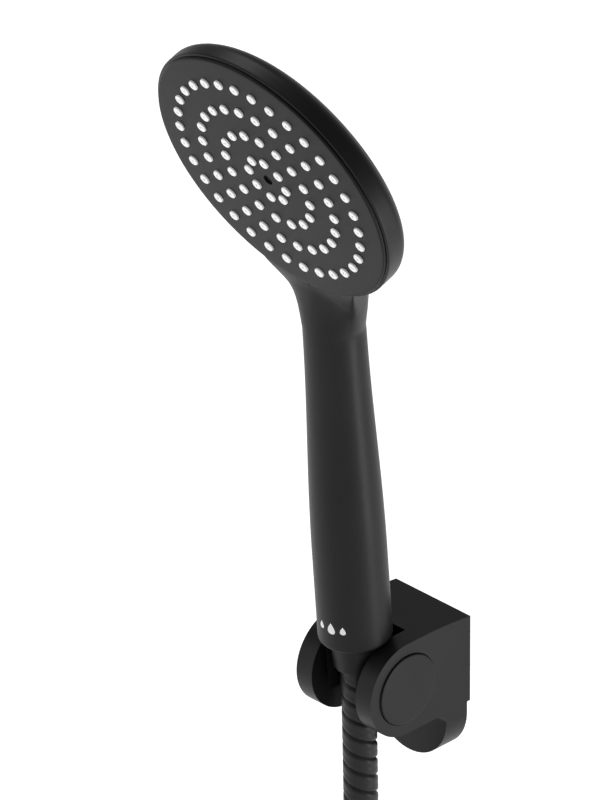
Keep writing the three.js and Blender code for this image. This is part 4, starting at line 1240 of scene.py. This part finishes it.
class SHOWER_OT_hose(bpy.types.Operator):
    """Make the hose with its spiral grooves, its coil and the coil's tie"""

    bl_idname = "shower.hose"
    bl_label = "Hose"

    def execute(self, context):
        sizes = context.scene.shower_hose
        spacing = sizes.groove_spacing * sizes.starts / HOSE_SIDES
        path = even_curve(np.concatenate((HOSE_POINTS, coil_points())), spacing)
        points, faces, (centres, fans) = hose_parts(sizes, path)
        cover = new_surface(
            "hose_cover",
            [(np.concatenate((points, centres)), np.concatenate((faces, fans)))],
            finish("hose_cover"),
            sharp=50,
            weld=MM / 1000,
        )
        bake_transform(cover)
        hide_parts("hose_tube", "hose_coil", "hose_tail")
        middle = (COIL_OUTER_TURN + COIL_INNER_TURN) / 2
        centre = (
            COIL_CENTRE[0] + middle * math.cos(TIE_ANGLE),
            COIL_CENTRE[1] + middle * math.sin(TIE_ANGLE),
            COIL_LEVEL,
        )
        matrix = Matrix.Translation(centre) @ Matrix.Rotation(TIE_ANGLE, 4, "Z")
        half_width = (COIL_OUTER_TURN - COIL_INNER_TURN + sizes.diameter) / 2 + TIE_SLACK
        strap = tie_parts(matrix, half_width, sizes.diameter / 2 + GAP)
        tie = new_surface("coil_strap", [strap], finish("black_rubber"))
        stand_for(tie, "bracket", "rubber_black", "coil_tie")
        return {"FINISHED"}


class SHOWER_OT_nuts(bpy.types.Operator):
    """Make the conical nut under the handle and the knurled nut at the wall end"""

    bl_idname = "shower.nuts"
    bl_label = "Hose nuts"

    def execute(self, context):
        sizes = context.scene.shower_hose
        cone = lathe(conical_nut_profile(sizes), NUT_SEGMENTS, handset_frame(), closed=True)
        nut = new_surface("conical_nut", [cone], finish("matt_moulding"))
        stand_for(nut, "handset", "matte_black", "hose_nut")
        joint = JOINTS["end_nut_spin"]
        matrix = frame_along(joint["axis"], joint["pos_m"])
        end = new_surface("wall_nut", [knurled_nut_parts(sizes, matrix)], finish("matt_moulding"))
        stand_for(end, "wall_end", "matte_black", "end_nut")
        return {"FINISHED"}


class SHOWER_OT_body(bpy.types.Operator):
    """Make the moulded shell of handle, neck and head"""

    bl_idname = "shower.body"
    bl_label = "Handle and head"

    def execute(self, context):
        sizes = context.scene.shower_handset
        shell = new_surface("handle_and_head", body_shell_parts(sizes), finish("matt_moulding"), 50)
        stand_for(shell, "handset", "matte_black", "body_shell")
        mark = new_surface("drop_mark", mark_parts(sizes), finish("white_print"))
        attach(mark, "handset")
        return {"FINISHED"}


class SHOWER_OT_face(bpy.types.Operator):
    """Make the spray plate and the nozzles"""

    bl_idname = "shower.face"
    bl_label = "Spray face"

    def execute(self, context):
        sizes = context.scene.shower_handset
        matrix = head_frame(sizes)
        disc = lathe(plate_profile(sizes), PLATE_SEGMENTS, matrix)
        plate = new_surface("spray_disc", [disc], finish("spray_face"))
        stand_for(plate, "handset", "face_black", "spray_plate")
        top = PLATE_LEVEL - PLATE_THICKNESS - GAP
        reach = sizes.plate_radius - MAT_INSET
        sheet = [(0, top), (reach, top), (reach, top - MAT_THICKNESS), (0, top - MAT_THICKNESS)]
        mat_parts = [lathe(sheet, MAT_SEGMENTS, matrix), nozzle_parts(sizes)]
        mat = new_surface("nozzle_set", mat_parts, finish("white_silicone"))
        stand_for(mat, "handset", "silicone_white", "nozzle_mat")
        return {"FINISHED"}


class SHOWER_OT_bracket(bpy.types.Operator):
    """Round the bracket's and the cradle's edges and make the pivot caps"""

    bl_idname = "shower.bracket"
    bl_label = "Bracket"

    def execute(self, context):
        sizes = context.scene.shower_bracket
        black = finish("matt_moulding")
        share = sizes.edge_rounding / sizes.arm_rounding
        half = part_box("bracket_body")[1].x

        def fork_share(middle):
            return arm_share(middle, half, share)

        fork = filleted_copy("bracket_body", "fork", black, sizes.arm_rounding, fork_share)
        stand_for(fork, "bracket", "matte_black", "bracket_body")
        cup = filleted_copy("cradle", "seat_cup", black, sizes.edge_rounding, lambda place: 1.0)
        stand_for(cup, "cradle", "matte_black", "cradle")
        pivot = JOINTS["cradle_tilt"]["pos_m"]
        for side, node in ((1, "pivot_cap_right"), (-1, "pivot_cap_left")):
            matrix = frame_along((side, 0, 0), pivot)
            disc = lathe(cap_profile(sizes), CAP_SEGMENTS, matrix)
            cap = new_surface(node.replace("pivot_cap", "arm_cap"), [disc], black)
            stand_for(cap, "bracket", "matte_black", node)
        return {"FINISHED"}


class SHOWER_OT_finishes(bpy.types.Operator):
    """Give the CAD nodes that stay their finishes"""

    bl_idname = "shower.finishes"
    bl_label = "Inner parts"

    def execute(self, context):
        groups = {
            "inner_plastic": ("wall_plate", "distributor_plate", "water_tube", "flow_regulator"),
            "black_rubber": (
                "head_seal",
                "tube_ring_upper",
                "tube_ring_lower",
                "filter_washer",
                "end_washer",
                "pivot_washer_left",
                "pivot_washer_right",
            ),
            "screw_steel": ("grub_screw", "pivot_screw_left", "pivot_screw_right", "face_screw"),
            "thread_brass": ("inlet_stub", "hose_ferrule", "end_ferrule"),
        }
        for material, names in groups.items():
            dress_nodes(names, material)
        return {"FINISHED"}


# ---- stage ---------------------------------------------------------------------------------------

FLOOR_HALF = 9.0  # metres from the middle to the floor's edge
FLOOR_GLOW = 0.75
SURROUND_STRENGTH = 0.27
PANELS = (  # name, direction from the view's centre, distance, width and height, watts
    ("side_panel", (0.8, 0.35, -0.42), 0.68, (0.12, 0.5), 2.4),
    ("front_panel", (-0.5, -1, 0.25), 1.6, (0.9, 0.9), 5.5),
    ("top_panel", (-0.6, 0.2, 1), 1.6, (0.8, 0.8), 9),
)
# Where the camera points, and from where it looks: 45 degrees round, 30 degrees up.
VIEW_CENTRE = Vector((0, -74.41, 138.99)) * MM
VIEW_AZIMUTH = math.radians(45)
VIEW_ELEVATION = math.radians(30)
VIEW_HEIGHT = 0.3125  # metres that the view shows from its lower to its upper edge
LENS = 1100.0
SENSOR = 36.0


def make_floor(colour):
    """A large pale floor under the coil, softly lit from within so that it stays even."""
    sides = ((-1, -1), (1, -1), (1, 1), (-1, 1))
    corners = [(FLOOR_HALF * x, FLOOR_HALF * y, CAD_BOX[0].z) for x, y in sides]
    mesh = bpy.data.meshes.new("floor")
    mesh.from_pydata(corners, [], [(0, 1, 2, 3)])
    material, tree, shader = new_material("pale_floor")
    fill_inputs(
        shader,
        Base_Color=opaque(colour),
        Roughness=0.9,
        Emission_Color=opaque(colour),
        Emission_Strength=FLOOR_GLOW,
    )
    mesh.materials.append(material)
    floor = bpy.data.objects.new("floor", mesh)
    bpy.context.scene.collection.objects.link(floor)


def add_area_light(name, towards, distance, size, power):
    """A soft panel in a direction from the view's centre, turned towards it."""
    data = bpy.data.lights.new(name, "AREA")
    data.shape = "RECTANGLE"
    data.size, data.size_y = size
    data.energy = power
    lamp = bpy.data.objects.new(name, data)
    direction = Vector(towards).normalized()
    lamp.location = VIEW_CENTRE + direction * distance
    lamp.rotation_euler = (-direction).to_track_quat("-Z", "Y").to_euler()
    bpy.context.scene.collection.objects.link(lamp)


def make_lights():
    """An even pale surround and three soft panels."""
    world = bpy.data.worlds.new("surround")
    world.use_nodes = True
    background = world.node_tree.nodes["Background"]
    fill_inputs(background, Color=(1, 1, 1, 1), Strength=SURROUND_STRENGTH)
    bpy.context.scene.world = world
    for panel in PANELS:
        add_area_light(*panel)
    settings = bpy.context.scene.view_settings
    settings.view_transform = "Standard"
    settings.look = "None"


def make_camera():
    """A long lens, so far away that the view's height at its centre is as wanted."""
    data = bpy.data.cameras.new("camera")
    data.lens = LENS
    data.sensor_width = SENSOR
    distance = LENS / SENSOR * VIEW_HEIGHT
    data.clip_start, data.clip_end = distance / 100, distance * 10
    direction = Vector(
        (
            math.sin(VIEW_AZIMUTH) * math.cos(VIEW_ELEVATION),
            -math.cos(VIEW_AZIMUTH) * math.cos(VIEW_ELEVATION),
            math.sin(VIEW_ELEVATION),
        )
    )
    camera = bpy.data.objects.new("camera", data)
    camera.location = VIEW_CENTRE + direction * distance
    camera.rotation_euler = (-direction).to_track_quat("-Z", "Y").to_euler()
    bpy.context.scene.collection.objects.link(camera)
    bpy.context.scene.camera = camera


# ---- panel and registration ----------------------------------------------------------------------

OPERATORS = (
    SHOWER_OT_stage,
    SHOWER_OT_nuts,
    SHOWER_OT_hose,
    SHOWER_OT_body,
    SHOWER_OT_face,
    SHOWER_OT_bracket,
    SHOWER_OT_finishes,
)


class SHOWER_PT_panel(bpy.types.Panel):
    """Lists the steps that build the shower head"""

    bl_idname = "SHOWER_PT_panel"
    bl_label = "Shower head"
    bl_space_type = "VIEW_3D"
    bl_region_type = "UI"
    bl_category = "Shower"

    def draw(self, context):
        for operator in OPERATORS:
            self.layout.operator(operator.bl_idname)


PROPERTY_GROUPS = {
    "shower_handset": HandsetSizes,
    "shower_hose": HoseSizes,
    "shower_bracket": BracketSizes,
    "shower_finishes": Finishes,
}
CLASSES = (*PROPERTY_GROUPS.values(), *OPERATORS, SHOWER_PT_panel)


def register():
    for item in CLASSES:
        bpy.utils.register_class(item)
    for name, group in PROPERTY_GROUPS.items():
        setattr(bpy.types.Scene, name, bpy.props.PointerProperty(type=group))


def unregister():
    for name in PROPERTY_GROUPS:
        delattr(bpy.types.Scene, name)
    for item in reversed(CLASSES):
        bpy.utils.unregister_class(item)


def main():
    register()
    bpy.ops.shower.stage()
    bpy.ops.shower.nuts()
    bpy.ops.shower.hose()
    bpy.ops.shower.body()
    bpy.ops.shower.face()
    bpy.ops.shower.bracket()
    bpy.ops.shower.finishes()


if __name__ == "__main__":
    main()
